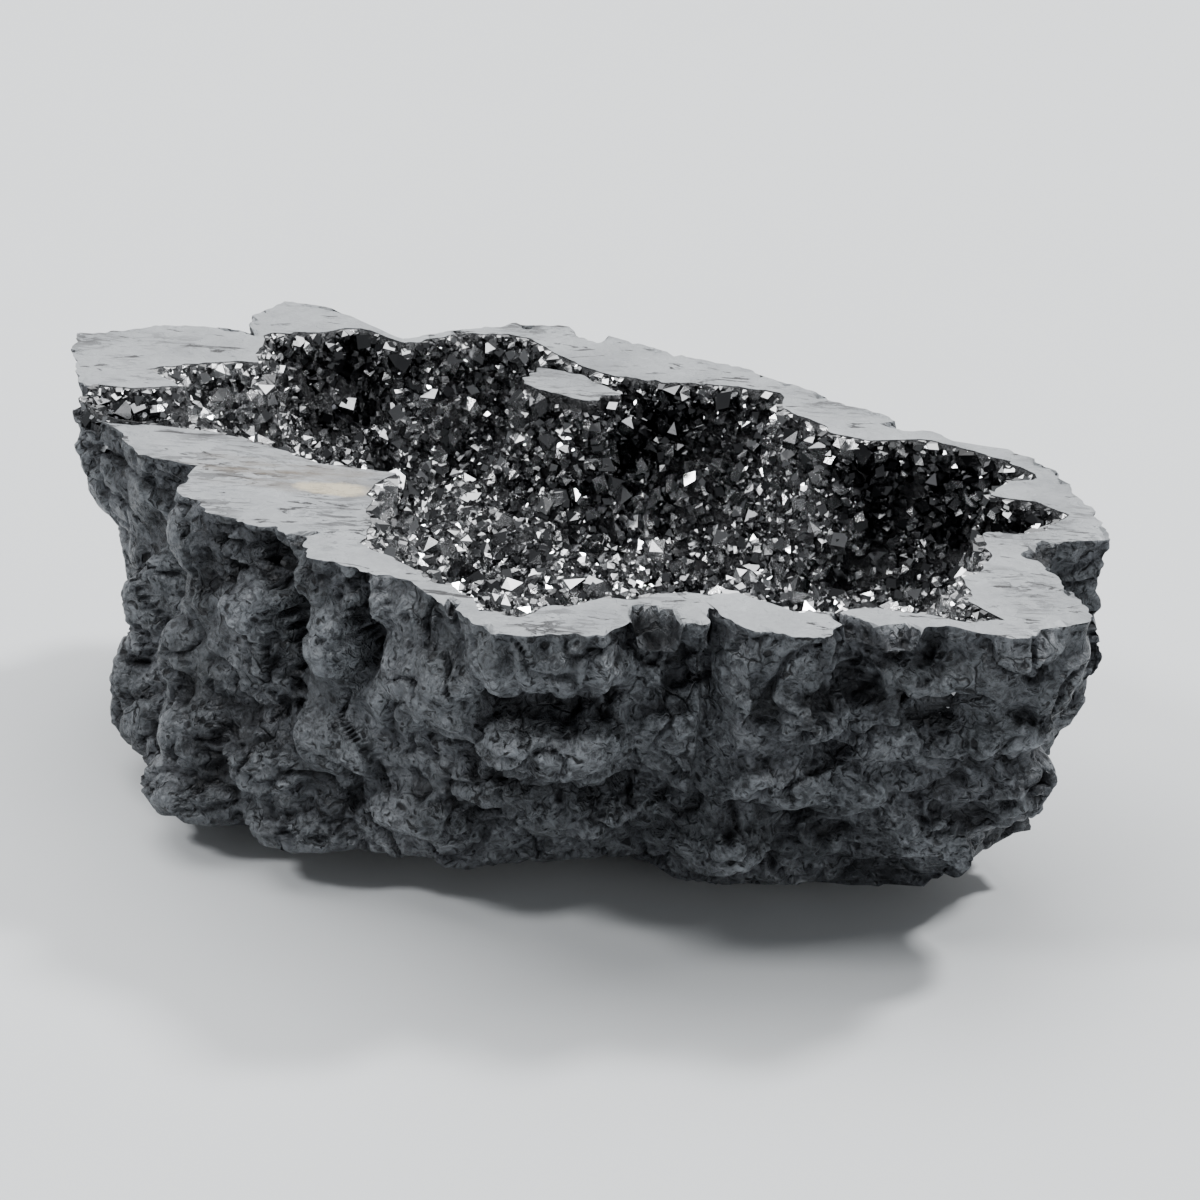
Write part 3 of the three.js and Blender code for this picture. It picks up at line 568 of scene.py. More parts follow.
def within(tree, place, at, size, turn):
    # 1 less the distance from the middle of a turned oval on the cut, 0 at its edge
    x, y = (np.array(at) + settled[:2]) * mm
    middle = (x, y, stone["cutHeight"] * mm)
    vector = mapped(tree, place, turn, (size[0] * mm, size[1] * mm, 1.0), middle)
    return mathNode(tree, "SUBTRACT", 1.0, vectorNode(tree, "LENGTH", {0: vector}, "Value"))


def makeCutMaterial():
    material, tree, shader = newMaterial("sawnFace")
    grain, place = grainNode(tree, cutFace["grainScale"])
    patches = zip(cutFace["patchStops"], (cutFace["shade"], cutFace["plain"], cutFace["pale"]))
    colour = ramp(tree, grain["Patches"], list(patches))
    speckled = ramp(tree, grain["Grain"], cutFace["grainStops"])
    colour = mixColour(tree, cutFace["grainShare"], colour, speckled, "MULTIPLY")
    # worn places are crossed by scratches and open pits, the rest has only a few
    worn = above(tree, noise(tree, place, *cutFace["wornNoise"]), *cutFace["wornMark"])
    worn = mathNode(tree, "MAXIMUM", worn, within(tree, place, *cutFace["wornAt"]), clamp=True)
    marks = [streaked(tree, place, *cutFace[name]) for name in ("scratches", "pits", "single")]
    marked = mathNode(tree, "MULTIPLY", mathNode(tree, "MAXIMUM", marks[0], marks[1]), worn)
    marked = mathNode(tree, "MAXIMUM", marked, marks[2], clamp=True)
    colour = mixColour(tree, marked, colour, cutFace["open"])
    # cream quartz shows where the coat is thin, with brown streaks round it
    ragged = mathNode(tree, "SUBTRACT", grain["Patches"], 0.5)
    ragged = mathNode(tree, "MULTIPLY", ragged, cutFace["creamRagged"])
    cream = mathNode(tree, "SUBTRACT", within(tree, place, *cutFace["creamAt"]), ragged)
    cream = mathNode(tree, "MULTIPLY", cream, cutFace["creamEdge"], clamp=True)
    brown = within(tree, place, *cutFace["brownAt"])
    brown = mathNode(tree, "MULTIPLY", brown, cutFace["brownEdge"], clamp=True)
    streaks = mathNode(tree, "MULTIPLY", brown, streaked(tree, place, *cutFace["streaks"]))
    streaks = mathNode(tree, "MULTIPLY", streaks, cutFace["brownShare"])
    colour = mixColour(tree, streaks, colour, cutFace["brown"])
    feed(tree, shader.inputs["Base Color"], mixColour(tree, cream, colour, cutFace["cream"]))
    coated = mathNode(tree, "SUBTRACT", 1.0, cream)
    feed(tree, shader.inputs["Metallic"], mathNode(tree, "MULTIPLY", coated, cutFace["metallic"]))
    rough = mathNode(tree, "MULTIPLY_ADD", grain["Grain"], *cutFace["roughness"])
    feed(tree, shader.inputs["Roughness"], rough)
    depth = mathNode(tree, "MULTIPLY", marked, cutFace["markDepth"])
    height = mathNode(tree, "MULTIPLY", grain["Height"], cutFace["grainHeight"])
    height = mathNode(tree, "SUBTRACT", height, depth)
    bumped(tree, shader, height, *cutFace["bump"])
    return material


# the four tints run from a crystal in the dark corners, darkened there by painted shade, to the
# brightest face
druse = {"deep": (0.02, 0.0205, 0.022), "dark": (0.12, 0.122, 0.127), "middle": (0.34, 0.345, 0.352),
         "light": (0.64, 0.646, 0.655), "toneStops": (0.0, 0.2, 0.7, 1.0), "metallic": 1.0,
         "patchStops": [(0.35, 0.3), (0.65, 1.0)], "patchShare": 0.25, "grainScale": 1.6,
         "roughness": (0.1, 0.07), "bump": (0.00002, 0.25)}


def makeCrystalMaterial():
    material, tree, shader = newMaterial("crystalFaces")
    grain, _ = grainNode(tree, druse["grainScale"])
    tone = attributeValue(tree, "tone")
    tints = zip(druse["toneStops"], (druse["deep"], druse["dark"], druse["middle"], druse["light"]))
    patches = ramp(tree, grain["Patches"], druse["patchStops"])
    colour = mixColour(tree, druse["patchShare"], ramp(tree, tone, list(tints)), patches, "MULTIPLY")
    feed(tree, shader.inputs["Base Color"], colour)
    feed(tree, shader.inputs["Roughness"], mathNode(tree, "MULTIPLY_ADD", tone, *druse["roughness"]))
    shader.inputs["Metallic"].default_value = druse["metallic"]
    bumped(tree, shader, grain["Grain"], *druse["bump"])
    return material


bed = {"stops": [(0.35, (0.014, 0.015, 0.017)), (0.7, (0.09, 0.092, 0.096))], "grainScale": 1.4,
       "metallic": 0.7, "roughness": (0.3, 0.2), "bump": (0.00015, 1.0)}


def makeBedMaterial():
    material, tree, shader = newMaterial("druseBed")
    grain, _ = grainNode(tree, bed["grainScale"])
    feed(tree, shader.inputs["Base Color"], ramp(tree, grain["Grain"], bed["stops"]))
    rough = mathNode(tree, "MULTIPLY_ADD", grain["Grain"], *bed["roughness"])
    feed(tree, shader.inputs["Roughness"], rough)
    shader.inputs["Metallic"].default_value = bed["metallic"]
    bumped(tree, shader, grain["Height"], *bed["bump"])
    return material


skinMaterial = makeSkinMaterial()
cutMaterial = makeCutMaterial()
crystalMaterial = makeCrystalMaterial()
bedMaterial = makeBedMaterial()
print("stage: materials")


rind = {"columns": 815, "gather": 0.35, "undersideRows": 14, "wallRows": 93, "faceRows": 9,
        "hollowRows": 5, "warpSize": 2.2, "warp": 0.5, "roughSize": 3.6,
        # size, height and seed of the knobs, pebbles and grit, then of the chips and flakes
        "rounded": [(2.7, 0.26, 31), (1.15, 0.12, 41), (0.5, 0.05, 51)],
        "facets": [(1.7, 0.28, 121), (0.8, 0.2, 131)],
        "wrinkleSize": 1.1, "wrinkleDepth": 0.25, "foldSize": 1.7, "foldDepth": 0.45,
        "pitSize": 0.62, "pitDepth": 0.4, "wornTops": 0.5, "pushBlur": 5, "cavityBlur": 40,
        "cavityShadeShare": 0.5, "ribPitch": 5.2, "ribHeight": 0.3,
        # directions and heights over which the ribs and the hidden side set in and end
        "ribsStart": (284, 290), "ribsEnd": (324, 318), "ribsAbove": (12, 13),
        "hiddenStart": (4, 12), "hiddenEnd": (200, 190),
        "rimBite": 0.35, "rimBiteReach": (1.1, 0.1), "rimChip": 0.22, "coatBelow": 0.26,
        # size, height and seed of the noises in the hollow's floor and its mouth
        "floorRelief": [(3.4, 0.9, 91), (1.5, 0.5, 92), (0.7, 0.25, 93)],
        "mouthBites": [(0.9, 0.3, 95), (0.4, 0.15, 96)],
        "floorDepth": (1.0, 9.2), "clearDepth": 1.4, "clearWidth": 0.55,
        # x, y, reach in x, reach in y, extra depth of the dark pockets along the hollow's walls
        "pockets": [(-13.5, 8, 4.5, 3, 1.6), (4, 10, 6, 2.6, 1.8), (15, 10, 5, 3, 1.6),
                    (9, -9, 3, 2.5, 1.6), (-5, 4.6, 4, 1.4, 1.2), (-1.5, 7.5, 2, 3, 1.4)],
        # direction, half width in degrees, depth and inward reach of the rim's broken places
        "broken": [(199.5, 5.5, 1.1, 2.4), (322.5, 4, 1.5, 1.3), (348, 3.4, 0.9, 1.1),
                   (17, 3, 0.8, 0.9), (290, 1.2, 0.5, 0.9), (250, 1.5, 0.5, 0.7),
                   (128, 3, 0.6, 0.8), (60, 2.5, 0.5, 0.7)]}


def fineRelief(points, direction):
    # rounded knobs, pebbles and grit, each sqrt(1 - d^2) over random seeds with a crease between
    # neighbours; tilted chips and flakes in cells a little flatter than wide; flat-lying
    # wrinkles, folds and deep pits; and upright grooves, |sin|^0.6, below the front rim
    warp = np.stack([valueNoise(points, rind["warpSize"], seed) for seed in (11, 12, 13)], axis=-1)
    warped = points + rind["warp"] * warp
    total = np.zeros(points.shape[:-1])
    rough = smooth(-0.35, 0.3, valueNoise(points, rind["roughSize"], 21))
    ribbed = smooth(*rind["ribsStart"], direction) * smooth(*rind["ribsEnd"], direction)
    ribbed = ribbed * smooth(*rind["ribsAbove"], points[..., 2])
    hidden = smooth(*rind["hiddenEnd"], direction) * smooth(*rind["hiddenStart"], direction)
    for size, height, seed in rind["rounded"]:
        near, second = pebbles(warped, size, seed)
        cap = np.sqrt(np.clip(1 - (near / 0.85) ** 2, 0, 1))
        crease = 1 - smooth(0, 0.22, second - near)
        strength = mix(0.35, 1.15, rough) * (1 - 0.6 * ribbed)
        strength = np.where(size > 2, mix(0.6, 1.4, hidden), strength)
        total += height * (cap - 0.6 - 0.5 * crease) * strength
    squat = warped * np.array([1, 1, 1.35])
    facets = sum(height * blurred(chips(squat, size, seed), 1)
                 for size, height, seed in rind["facets"])
    total += facets * mix(0.5, 1.1, rough) * (1 - 0.5 * ribbed)
    flat = warped * np.array([0.55, 0.55, 1.9])
    wrinkle = 1 - np.abs(valueNoise(flat, rind["wrinkleSize"], 61))
    total -= rind["wrinkleDepth"] * smooth(0.86, 1, wrinkle) * mix(0.4, 1, rough)
    fold = 1 - np.abs(valueNoise(warped, rind["foldSize"], 62))
    total -= rind["foldDepth"] * smooth(0.88, 1, fold)
    pit = smooth(0.34, 0.62, valueNoise(warped, rind["pitSize"], 71))
    total -= rind["pitDepth"] * pit * mix(0.25, 1, rough)
    phase = direction / rind["ribPitch"] + 0.35 * valueNoise(points, 2.0, 81)
    total += rind["ribHeight"] * (np.abs(np.sin(np.pi * phase)) ** 0.6 - 0.6) * ribbed
    return total


def noises(points, layers, start=0.0):
    # the start plus noises with the given sizes, heights and seeds
    return sum((height * valueNoise(points, size, seed) for size, height, seed in layers), start)


def hollowDepth(x, y):
    # the floor's depth with the pockets, each deeper * (1 - d^2) inside its reach
    depth = depthAt(x, y)
    for atX, atY, reachX, reachY, deeper in rind["pockets"]:
        across = ((x - atX) / reachX) ** 2 + ((y - atY) / reachY) ** 2
        depth += deeper * np.clip(1 - across, 0, 1)
    return depth


def mouthReach(angle):
    # the mouth's outline with small bites in it
    outline = reach(stone["mouth"], angle)
    return noises(planPoints(angle, outline, 0.0), rind["mouthBites"], outline)


def hollowSurface(angle, share):
    # plan radius is share of the mouth's; depth is the floor's times sqrt(1 - share^hollowWall)
    flat = planPoints(angle, share * mouthReach(angle), stone["cutHeight"])
    relief = noises(flat * np.array([1, 1, 0]), rind["floorRelief"])
    depth = hollowDepth(flat[..., 0], flat[..., 1]) + relief * smooth(1, 0.8, share)
    depth = np.clip(depth, *rind["floorDepth"])
    steep = np.sqrt(np.clip(1 - share ** stone["hollowWall"], 0, 1))
    flat[..., 2] = stone["cutHeight"] - depth * steep
    return flat


def clearOfHollow(angle, points):
    # moves points outwards until their plan radius is at least the hollow's at their height,
    # mouth * (1 - (below / deepest)^2)^(1 / hollowWall), and a little more
    mouth = mouthReach(angle)
    edge = planPoints(angle, 0.85 * mouth, 0.0)
    deepest = hollowDepth(edge[..., 0], edge[..., 1]) + rind["clearDepth"]
    inside = np.clip(1 - ((stone["cutHeight"] - points[..., 2]) / deepest) ** 2, 0, 1)
    least = inside ** (1 / stone["hollowWall"]) * mouth + rind["clearWidth"] * (inside > 0)
    offset = points[..., :2] - np.array(stone["centre"])
    radius = np.linalg.norm(offset, axis=-1)
    scale = np.maximum(radius, least) / np.maximum(radius, 1e-6)
    plan = np.array(stone["centre"]) + offset * scale[..., None]
    return np.concatenate([plan, points[..., 2:]], axis=-1)


def rimDip(direction, inward):
    # how far broken places lower the cut, fading with the distance inward from the rim
    dip = np.zeros(np.broadcast(direction, inward).shape)
    for middle, halfWidth, deep, reachIn in rind["broken"]:
        away = np.abs((direction - middle + 180) % 360 - 180) / halfWidth
        dip = np.maximum(dip, deep * smooth(1, 0.55, away) * smooth(reachIn, 0.4 * reachIn, inward))
    return dip


def makeWall(angle, turn):
    # the underside and the wall with their lumps and relief; also the relief and the cavities
    share = 1 - (1 - np.linspace(0, 1, rind["undersideRows"] + 1)[1:, None]) ** 1.6
    under = undersidePoints(angle, share)
    height = np.linspace(stone["footHeight"], stone["cutHeight"], rind["wallRows"] + 1)[1:, None]
    grid = np.concatenate([under, wallPoints(angle, height)])
    downward = np.concatenate([np.sqrt(1 - share ** 6), np.zeros_like(height)]) * np.ones_like(angle)
    outward = np.sqrt(1 - downward ** 2)
    below = stone["cutHeight"] - grid[..., 2]
    sink = stone["wallSink"] * outward * smooth(0, stone["capFade"], below)
    push = blurred(lumpPush(grid, allLumps()) - sink, rind["pushBlur"])
    step = np.stack([outward * np.cos(angle), outward * np.sin(angle), -downward], axis=-1)
    lumpy = grid + push[..., None] * step
    fine = fineRelief(lumpy, turn * np.ones((len(grid), 1)))
    fine = fine * mix(0.3, 1, smooth(0, 0.7, below))
    fine = np.where(fine > 0, rind["wornTops"] * fine, fine)
    outer = lumpy + gridNormals(lumpy) * fine[..., None]
    # small bites nibble the rim inwards and die out a little below it
    bite = 0.5 + 0.9 * valueNoise(outer, 0.9, 106) + 0.7 * valueNoise(outer, 0.4, 107)
    below = stone["cutHeight"] - outer[..., 2]
    bite = rind["rimBite"] * np.clip(bite, 0, 1.8) * smooth(*rind["rimBiteReach"], below)
    outer[..., 0] -= bite * np.cos(angle)
    outer[..., 1] -= bite * np.sin(angle)
    outer = clearOfHollow(angle, outer)
    # the top rows sink below the cut where the rim is broken
    uneven = mix(0.75, 1.25, valueNoise(outer, 0.6, 103) * 0.5 + 0.5)
    top = stone["cutHeight"] - rimDip(turn, np.zeros((1, 1))) * uneven
    outer[..., 2] = np.clip(outer[..., 2], 0, np.minimum(top, stone["cutHeight"]))
    outer[-1, :, 2] = top[-1]
    return outer, fine, push - blurred(push, rind["cavityBlur"])


def makeCutFace(angle, turn, rimRing, mouthRing):
    # rings from the rim to the mouth, closer together near the rim, with its broken places
    t = np.linspace(0, 1, rind["faceRows"] + 1)[1:, None, None] ** 1.3
    face = rimRing + (mouthRing - rimRing) * t
    inward = np.linalg.norm(face - rimRing, axis=-1)
    dip = rimDip(turn, inward)
    rugged = noises(face, [(0.9, 0.35, 104), (0.4, 0.25, 105)])
    dip = dip + rugged * smooth(0.05, 0.4, dip)
    nibbled = smooth(0.15, 0.6, valueNoise(face, 0.7, 101)) * smooth(0.7, 0, inward)
    face[..., 2] = stone["cutHeight"] - np.maximum(dip, 0) - rind["rimChip"] * nibbled * (dip < 0.01)
    face[-1, :, 2] = stone["cutHeight"] - np.minimum(dip[-1], 0.6)
    return face, dip


def makeRind():
    # wall, cut face and hollow as one closed skin
    columns = rind["columns"]
    angle = columnAngles(columns, rind["gather"])[None, :]
    turn = np.degrees(angle) % 360
    outer, fine, cavity = makeWall(angle, turn)
    rimRing = outer[-1] * np.array([1, 1, 0]) + np.array([0, 0, stone["cutHeight"]])
    face, dip = makeCutFace(angle, turn, rimRing, hollowSurface(angle, np.ones_like(angle))[0])
    inner = np.linspace(1, 0, rind["hollowRows"] + 1)[1:-1, None] ** 0.5
    hollow = hollowSurface(angle, inner)
    rows = np.concatenate([outer, face, hollow])
    lowPole = np.array([[*stone["centre"], outer[0, :, 2].mean()]])
    highPole = hollowSurface(np.zeros((1, 1)), np.zeros((1, 1)))[0]
    points = np.concatenate([lowPole, rows.reshape(-1, 3), highPole])
    faces, faceRow = closedFaces(len(rows), columns)
    firstFace = len(outer) - 1
    slots = np.where(faceRow < firstFace, 0, np.where(faceRow < firstFace + len(face), 1, 2))
    # what is broken off deeper than the small chips shows the weathered coat
    lowest = points[faces][..., 2].min(axis=1)
    slots[(slots == 1) & (lowest < stone["cutHeight"] - rind["coatBelow"])] = 0
    materials = [skinMaterial, cutMaterial, bedMaterial]
    piece = addPiece("stoneRind", points, faces, materials, "rind", slots)
    piece.data.polygons.foreach_set("use_smooth", slots != 1)
    # crevices between lumps lie deeper than the pushes averaged round them; the relief is lower
    # there, which paints them darker as painted shade
    relief = [fine + rind["cavityShadeShare"] * cavity, mix(0.1, -0.5, smooth(0.05, 0.3, dip)),
              np.full((len(hollow), columns), 0.1)]
    relief = np.clip((np.concatenate(relief) + 0.75) / 1.3, 0, 1)
    addValues(piece, "relief", np.concatenate([[0.5], relief.ravel(), [0.5]]))
    return outer


outerWall = makeRind()
print("stage: rind")


# the island stands up in the hollow and is cut flat by the saw
island = {"at": (-5.1, 7.9), "topRadius": 1.4, "baseRadius": 2.3, "stretch": 1.8, "columns": 120,
          "sideRows": 26, "topRows": 8, "height": 7.5, "taperHeight": 8, "sway": 0.12,
          "ragged": [(0.9, 0.2, 111), (0.35, 0.13, 112)]}


def islandRing(angle, height):
    # an oval tapering up to its flat top, with a ragged outline
    taper = np.clip((stone["cutHeight"] - height) / island["taperHeight"], 0, 1)
    radius = mix(island["topRadius"], island["baseRadius"], taper)
    ring = planPoints(angle, 1.5 + 0 * angle, 0 * angle)
    radius = radius * noises(ring, island["ragged"], 1.0)
    x = island["at"][0] + island["stretch"] * radius * np.cos(angle)
    y = island["at"][1] + radius * np.sin(angle)
    return np.stack([x, y, height * np.ones_like(x)], axis=-1)


def makeIsland():
    columns = island["columns"]
    angle = (2 * math.pi * np.arange(columns) / columns)[None, :]
    foot = stone["cutHeight"] - island["height"]
    height = np.linspace(foot, stone["cutHeight"], island["sideRows"])[:, None]
    side = islandRing(angle, height)
    sway = island["sway"] * valueNoise(side, 0.7, 113)[..., None]
    side[..., :2] += sway * smooth(0, 0.6, stone["cutHeight"] - side[..., 2:])
    t = np.linspace(1, 0, island["topRows"] + 1)[1:-1, None, None]
    middle = np.array([*island["at"], stone["cutHeight"]])
    rows = np.concatenate([side, middle + (side[-1] - middle) * t])
    low = np.array([[*island["at"], foot]])
    points = np.concatenate([low, rows.reshape(-1, 3), middle[None]])
    faces, faceRow = closedFaces(len(rows), columns)
    slots = np.where(faceRow < len(side) - 1, 1, 0)
    addPiece("islandPillar", points, faces, [cutMaterial, bedMaterial], "rind", slots)
    return side


islandSide = makeIsland()
print("stage: island")


# lengths in millimetres; margins keep the crystals below the cut and inside the wall
crust = {"bedColumns": 240, "bedRows": 50, "bedLifts": (0.08, 0.45), "bedBelowCut": 0.06,
         "scatterColumns": 420, "scatterRows": 110, "lean": 0.42,
         "islandShare": 0.05, "islandLift": 0.1,
         "small": {"count": 8600, "radius": (0.14, 0.32), "seed": 5, "lift": 0.42},
         "middling": {"count": 7000, "radius": (0.2, 0.42), "seed": 6, "lift": 0.42},
         "bold": {"count": 1300, "radius": (0.4, 0.72), "seed": 7, "lift": 0.36},
         # x, y, z, reach, change of tone: painted shade darkens the crystals in the deep corners and
         # painted light brightens those on the open shelves
         "paintedShadeAndLight": [(-17.4, 5.4, 14, 3, -0.5), (-0.6, 10.2, 14.5, 3, -0.5), (-2.6, 8, 12.5, 2, -0.3),
                   (11.5, 11.3, 14, 3, -0.42), (15, 12.4, 14, 3.2, -0.42), (19.3, 9, 14.5, 3, -0.35),
                   (9.5, 8, 11, 2.4, -0.2), (-18.5, -1.5, 15, 5, 0.35), (-4.4, -7, 14, 3.4, 0.3),
                   (0.5, -10.5, 14, 3.4, 0.35), (21, 0.5, 14, 4.6, 0.4), (16.5, -4, 14, 4, 0.35),
                   (-12, 5, 12, 4, 0.15), (3, 3, 10, 5, 0.1)]}


def liftedHollow(angle, share, lift):
    # the hollow's surface moved along its normals into the open, less so near the cut
    surface = hollowSurface(angle, share)
    below = smooth(0, 1.3, stone["cutHeight"] - surface[..., 2])[..., None]
    return surface - gridNormals(surface) * lift * mix(0.12, 1, below)


def makeBed():
    # a thin closed shell under the crystals
    angle = columnAngles(crust["bedColumns"])[None, :]
    share = (np.linspace(0, 1, crust["bedRows"] + 1)[1:, None]) ** 0.6
    lower, upper = [liftedHollow(angle, share, lift) for lift in crust["bedLifts"]]
    rows = np.concatenate([lower, upper[::-1]])
    rows[..., 2] = np.minimum(rows[..., 2], stone["cutHeight"] - crust["bedBelowCut"])
    poles = [rows[0].mean(axis=0)[None], rows[-1].mean(axis=0)[None]]
    points = np.concatenate([poles[0], rows.reshape(-1, 3), poles[1]])
    faces, _ = closedFaces(len(rows), crust["bedColumns"])
    addPiece("druseBed", points, faces, [bedMaterial], "crystal_crust")


def scatter(grid, count, random):
    # evenly stepped draws along the running total of cell areas, each jittered inside its cell
    a, b = grid[:-1], np.roll(grid[:-1], -1, axis=1)
    d, c = grid[1:], np.roll(grid[1:], -1, axis=1)
    normal = np.cross(c - a, d - b)
    area = np.linalg.norm(normal, axis=-1)
    running = np.cumsum(area.ravel())
    pick = (np.arange(count) + random.random(count)) / count * running[-1]
    cell = np.minimum(np.searchsorted(running, pick), area.size - 1)
    u, v = random.random((2, count, 1))
    corner = [part.reshape(-1, 3)[cell] for part in (a, b, c, d)]
    at = (corner[0] * (1 - u) + corner[1] * u) * (1 - v) + (corner[3] * (1 - u) + corner[2] * u) * v
    return at, (normal / np.maximum(area[..., None], 1e-9)).reshape(-1, 3)[cell]


def crystalMesh(at, axis, radius, random):
    # six-sided points: a base ring, a shoulder ring whose corners rise and fall in turn,
    # and an off-centre tip, turned onto each axis
    count = len(at)
    turn = random.random((count, 1)) * 2 * math.pi + np.arange(6) * math.pi / 3
    width = radius[:, None] * (1 + 0.25 * (random.random((count, 6)) - 0.5))
    ring = np.stack([np.cos(turn) * width, np.sin(turn) * width], axis=-1)
    sway = np.where(np.arange(6) % 2, 1, -1) * mix(0.1, 0.35, random.random((count, 1)))
    shoulder = radius[:, None] * (mix(0.1, 0.5, random.random((count, 1))) + sway)
    base = np.concatenate([ring, np.full((count, 6, 1), -0.6) * radius[:, None, None]], axis=-1)
    top = np.concatenate([ring * 0.93, shoulder[..., None]], axis=-1)
    aside = 0.35 * radius[:, None] * (random.random((count, 2)) - 0.5)
    high = radius * mix(0.75, 1.35, random.random(count))
    tip = np.concatenate([aside, high[:, None]], axis=-1)
    local = np.concatenate([base, top, tip[:, None]], axis=1)
    helper = np.where(np.abs(axis[:, :1]) > 0.8, np.array([[0, 1, 0]]), np.array([[1, 0, 0]]))
    side = np.cross(axis, helper)
    side /= np.linalg.norm(side, axis=-1, keepdims=True)
    other = np.cross(axis, side)
    points = (at[:, None] + local[..., :1] * side[:, None] + local[..., 1:2] * other[:, None]
              + local[..., 2:] * axis[:, None])
    k = np.arange(6)
    n = (k + 1) % 6
    sides = np.concatenate([np.stack([k, n, n + 6], -1), np.stack([k, n + 6, k + 6], -1)])
    tips = np.stack([k + 6, n + 6, np.full(6, 12)], -1)
    foot = np.array([[0, 2, 1], [0, 3, 2], [0, 4, 3], [0, 5, 4]])
    pattern = np.concatenate([sides, tips, foot])
    faces = (pattern[None] + 13 * np.arange(count)[:, None, None]).reshape(-1, 3)
    return points.reshape(-1, 3), faces


def shadeAndLightChange(points):
    # the sum of the painted shade and painted light changes, each times 1.3 * (1 - d^2), at most 1,
    # inside its reach
    change = np.zeros(len(points))
    for x, y, z, farthest, amount in crust["paintedShadeAndLight"]:
        across = ((points - np.array([x, y, z])) ** 2).sum(axis=1) / farthest ** 2
        change += amount * np.clip(1.3 * (1 - across), 0, 1)
    return change


def insideWall(points, margin):
    # whether each point lies inside the wall's nearest grid point by more than the margin
    centre = np.array(stone["centre"])
    angle = columnAngles(rind["columns"], rind["gather"])
    turn = np.arctan2(points[:, 1] - centre[1], points[:, 0] - centre[0])
    column = np.abs((turn[:, None] - angle + math.pi) % (2 * math.pi) - math.pi).argmin(axis=1)
    wall = outerWall[rind["undersideRows"]:]
    row = np.abs(wall[:, column, 2] - points[:, 2]).argmin(axis=0)
    limit = np.linalg.norm(wall[row, column, :2] - centre, axis=-1)
    return np.linalg.norm(points[:, :2] - centre, axis=-1) < limit - margin


def growCrystals(name, settings):
    random = np.random.default_rng(settings["seed"])
    angle = columnAngles(crust["scatterColumns"])[None, :]
    share = (np.linspace(0.004, 1, crust["scatterRows"])[:, None]) ** 0.6
    surface = liftedHollow(angle, share, settings["lift"])
    count, share = settings["count"], crust["islandShare"]
    onFloor, floorNormal = scatter(surface, int(count * (1 - share)), random)
    onSide, sideNormal = scatter(islandSide[6:-2], int(count * share), random)
    at = np.concatenate([onFloor, onSide + crust["islandLift"] * sideNormal])
    axis = np.concatenate([-floorNormal, sideNormal])
    axis = axis + crust["lean"] * random.normal(size=axis.shape)
    axis /= np.linalg.norm(axis, axis=-1, keepdims=True)
    radius = mix(*settings["radius"], random.random(len(at)) ** 1.7)
    # none stands in the island, above the cut or in the wall
    x, y = at[:, 0] - island["at"][0], at[:, 1] - island["at"][1]
    inIsland = (np.hypot(x / island["stretch"], y) < 1.1) & (at[:, 2] > stone["cutHeight"] - 4)
    keep = (at[:, 2] < stone["cutHeight"] - 0.8 * radius + 0.1) & ~inIsland
    keep &= insideWall(at, 0.3 + 0.6 * radius)
    at, axis, radius = at[keep], axis[keep], radius[keep]
    points, faces = crystalMesh(at, axis, radius, random)
    points[:, 2] = np.minimum(points[:, 2], stone["cutHeight"] - 0.03)
    piece = addPiece(name, points, faces, [crystalMaterial], "crystal_crust",
                     smoothFaces=False)
    # a random tone for each crystal, darkened by painted shade in the corners and lightened by
    # painted light on the shelves
    tone = np.clip(mix(0.15, 1, random.random(len(at))) + shadeAndLightChange(at), 0, 1)
    addValues(piece, "tone", np.repeat(tone, len(points) // len(at)))
    print("crystals", name, len(at), "triangles", len(faces))


makeBed()
growCrystals("druseSmall", crust["small"])
growCrystals("druseMiddling", crust["middling"])
growCrystals("druseBold", crust["bold"])
print("stage: druse")


view = {"target": (0.0, 4.1, 8.0), "azimuth": 40, "elevation": 25, "distance": 180, "lens": 113.4,
        "sensor": 36, "nearest": 0.005}
studio = {"sky": 0.2, "skyTint": (0.93, 0.96, 1), "floor": (0.585, 0.605, 0.62), "floorPatches": 1.05,
          "floorHalf": 3, "floorRoughness": 0.6,
          # metres to the right, to the back and up as the camera sees it, height of the aim,
          # sizes and power in watts
          "lamps": {"ceiling": ((-0.1, 0.2, 0.62), 0.01, (0.7, 0.5), 6.2),
                    "backWall": ((0, 0.85, 0.3), 0.01, (1.2, 0.5), 2.6),
                    "frontLow": ((0.5, -0.62, 0.16), 0.006, (0.6, 0.25), 1.6),
                    "sparkle": ((0.35, 0.2, 0.5), 0.01, (0.08, 0.08), 4.4),
                    "sparkleLeft": ((-0.45, -0.1, 0.5), 0.01, (0.12, 0.12), 2.8)}}


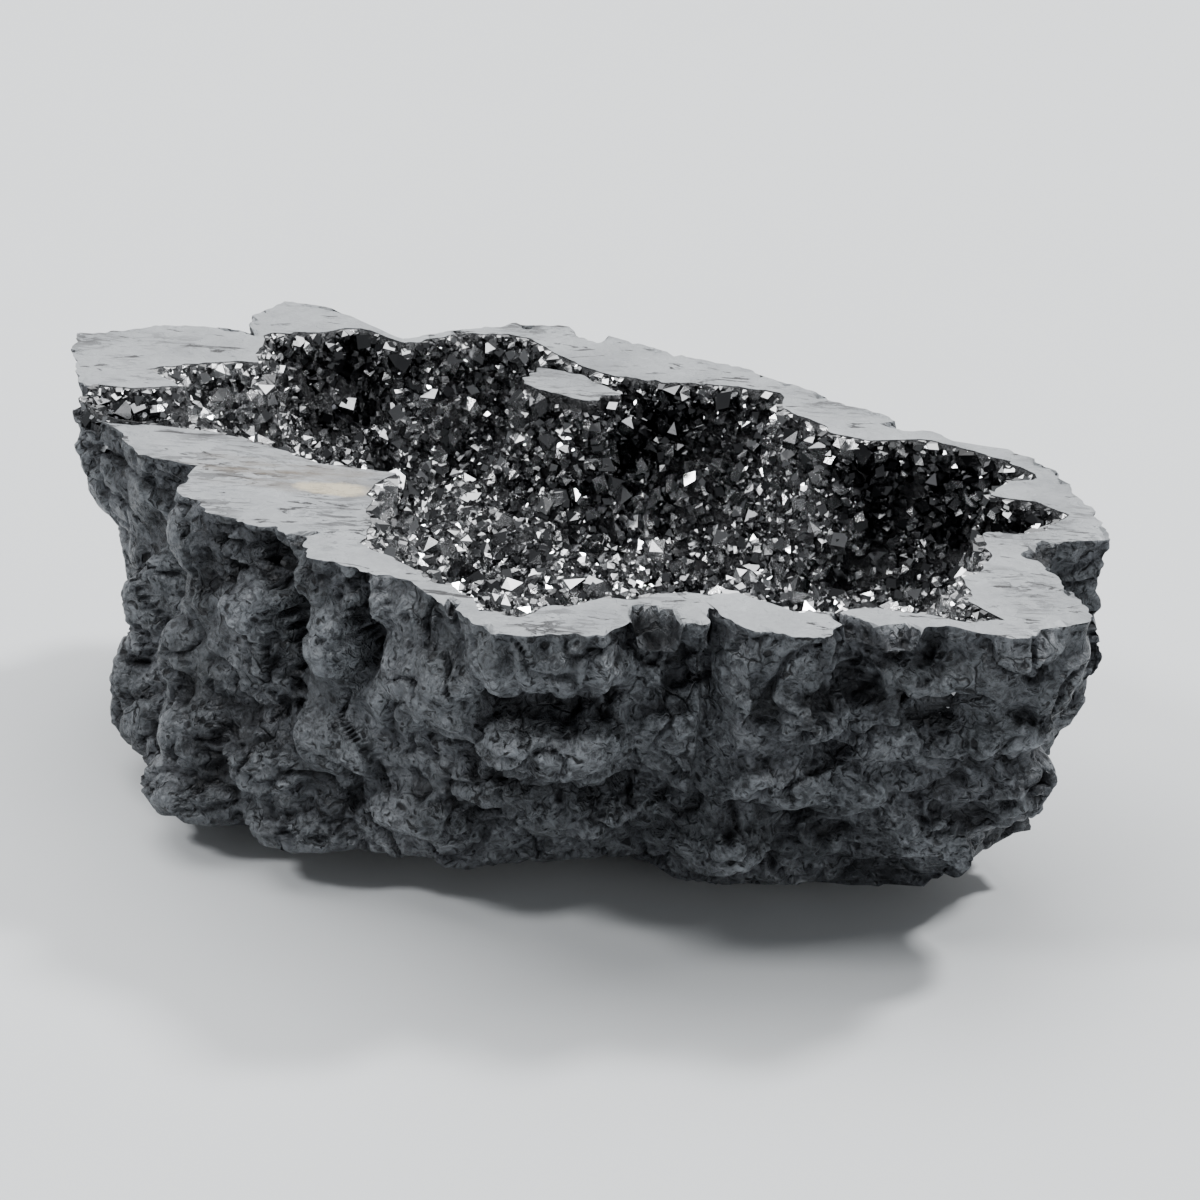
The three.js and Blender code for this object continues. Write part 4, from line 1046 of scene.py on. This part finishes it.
def makeFloor():
    half = studio["floorHalf"]
    mesh = bpy.data.meshes.new("floor")
    corners = [(-half, -half, 0), (half, -half, 0), (half, half, 0), (-half, half, 0)]
    mesh.from_pydata(corners, [], [(0, 1, 2, 3)])
    floor = bpy.data.objects.new("floor", mesh)
    bpy.context.scene.collection.objects.link(floor)
    material, tree, shader = newMaterial("paleGround")
    grain, _ = grainNode(tree, 0.05)
    paler = tuple(studio["floorPatches"] * c for c in studio["floor"])
    tint = ramp(tree, grain["Patches"], [(0.3, studio["floor"]), (0.7, paler)])
    feed(tree, shader.inputs["Base Color"], tint)
    shader.inputs["Roughness"].default_value = studio["floorRoughness"]
    mesh.materials.append(material)


def makeLight():
    world = bpy.data.worlds.new("studio")
    world.use_nodes = True
    sky = world.node_tree.nodes["Background"]
    feed(world.node_tree, sky.inputs["Color"], studio["skyTint"])
    feed(world.node_tree, sky.inputs["Strength"], studio["sky"])
    bpy.context.scene.world = world
    turn = math.radians(view["azimuth"])
    right = Vector((math.cos(turn), math.sin(turn), 0))
    back = Vector((-math.sin(turn), math.cos(turn), 0))
    for name, (place, aimHeight, sizes, power) in studio["lamps"].items():
        light = bpy.data.lights.new(name, "AREA")
        light.shape = "RECTANGLE"
        light.size, light.size_y = sizes
        light.energy = power
        lamp = bpy.data.objects.new(name, light)
        lamp.location = right * place[0] + back * place[1] + Vector((0, 0, place[2]))
        aim = Vector((0, 0, aimHeight)) - lamp.location
        lamp.rotation_euler = aim.to_track_quat("-Z", "Y").to_euler()
        bpy.context.scene.collection.objects.link(lamp)


def makeView():
    azimuth, elevation = math.radians(view["azimuth"]), math.radians(view["elevation"])
    level = math.cos(elevation)
    away = Vector((math.sin(azimuth) * level, -math.cos(azimuth) * level, math.sin(elevation)))
    camera = bpy.data.objects.new("camera", bpy.data.cameras.new("camera"))
    camera.data.lens = view["lens"]
    camera.data.sensor_width = view["sensor"]
    camera.data.clip_start = view["nearest"]
    camera.location = Vector(settled + view["target"]) * mm + away * view["distance"] * mm
    camera.rotation_euler = (-away).to_track_quat("-Z", "Y").to_euler()
    bpy.context.scene.collection.objects.link(camera)
    bpy.context.scene.camera = camera


makeFloor()
makeLight()
makeView()
print("stage: studio")
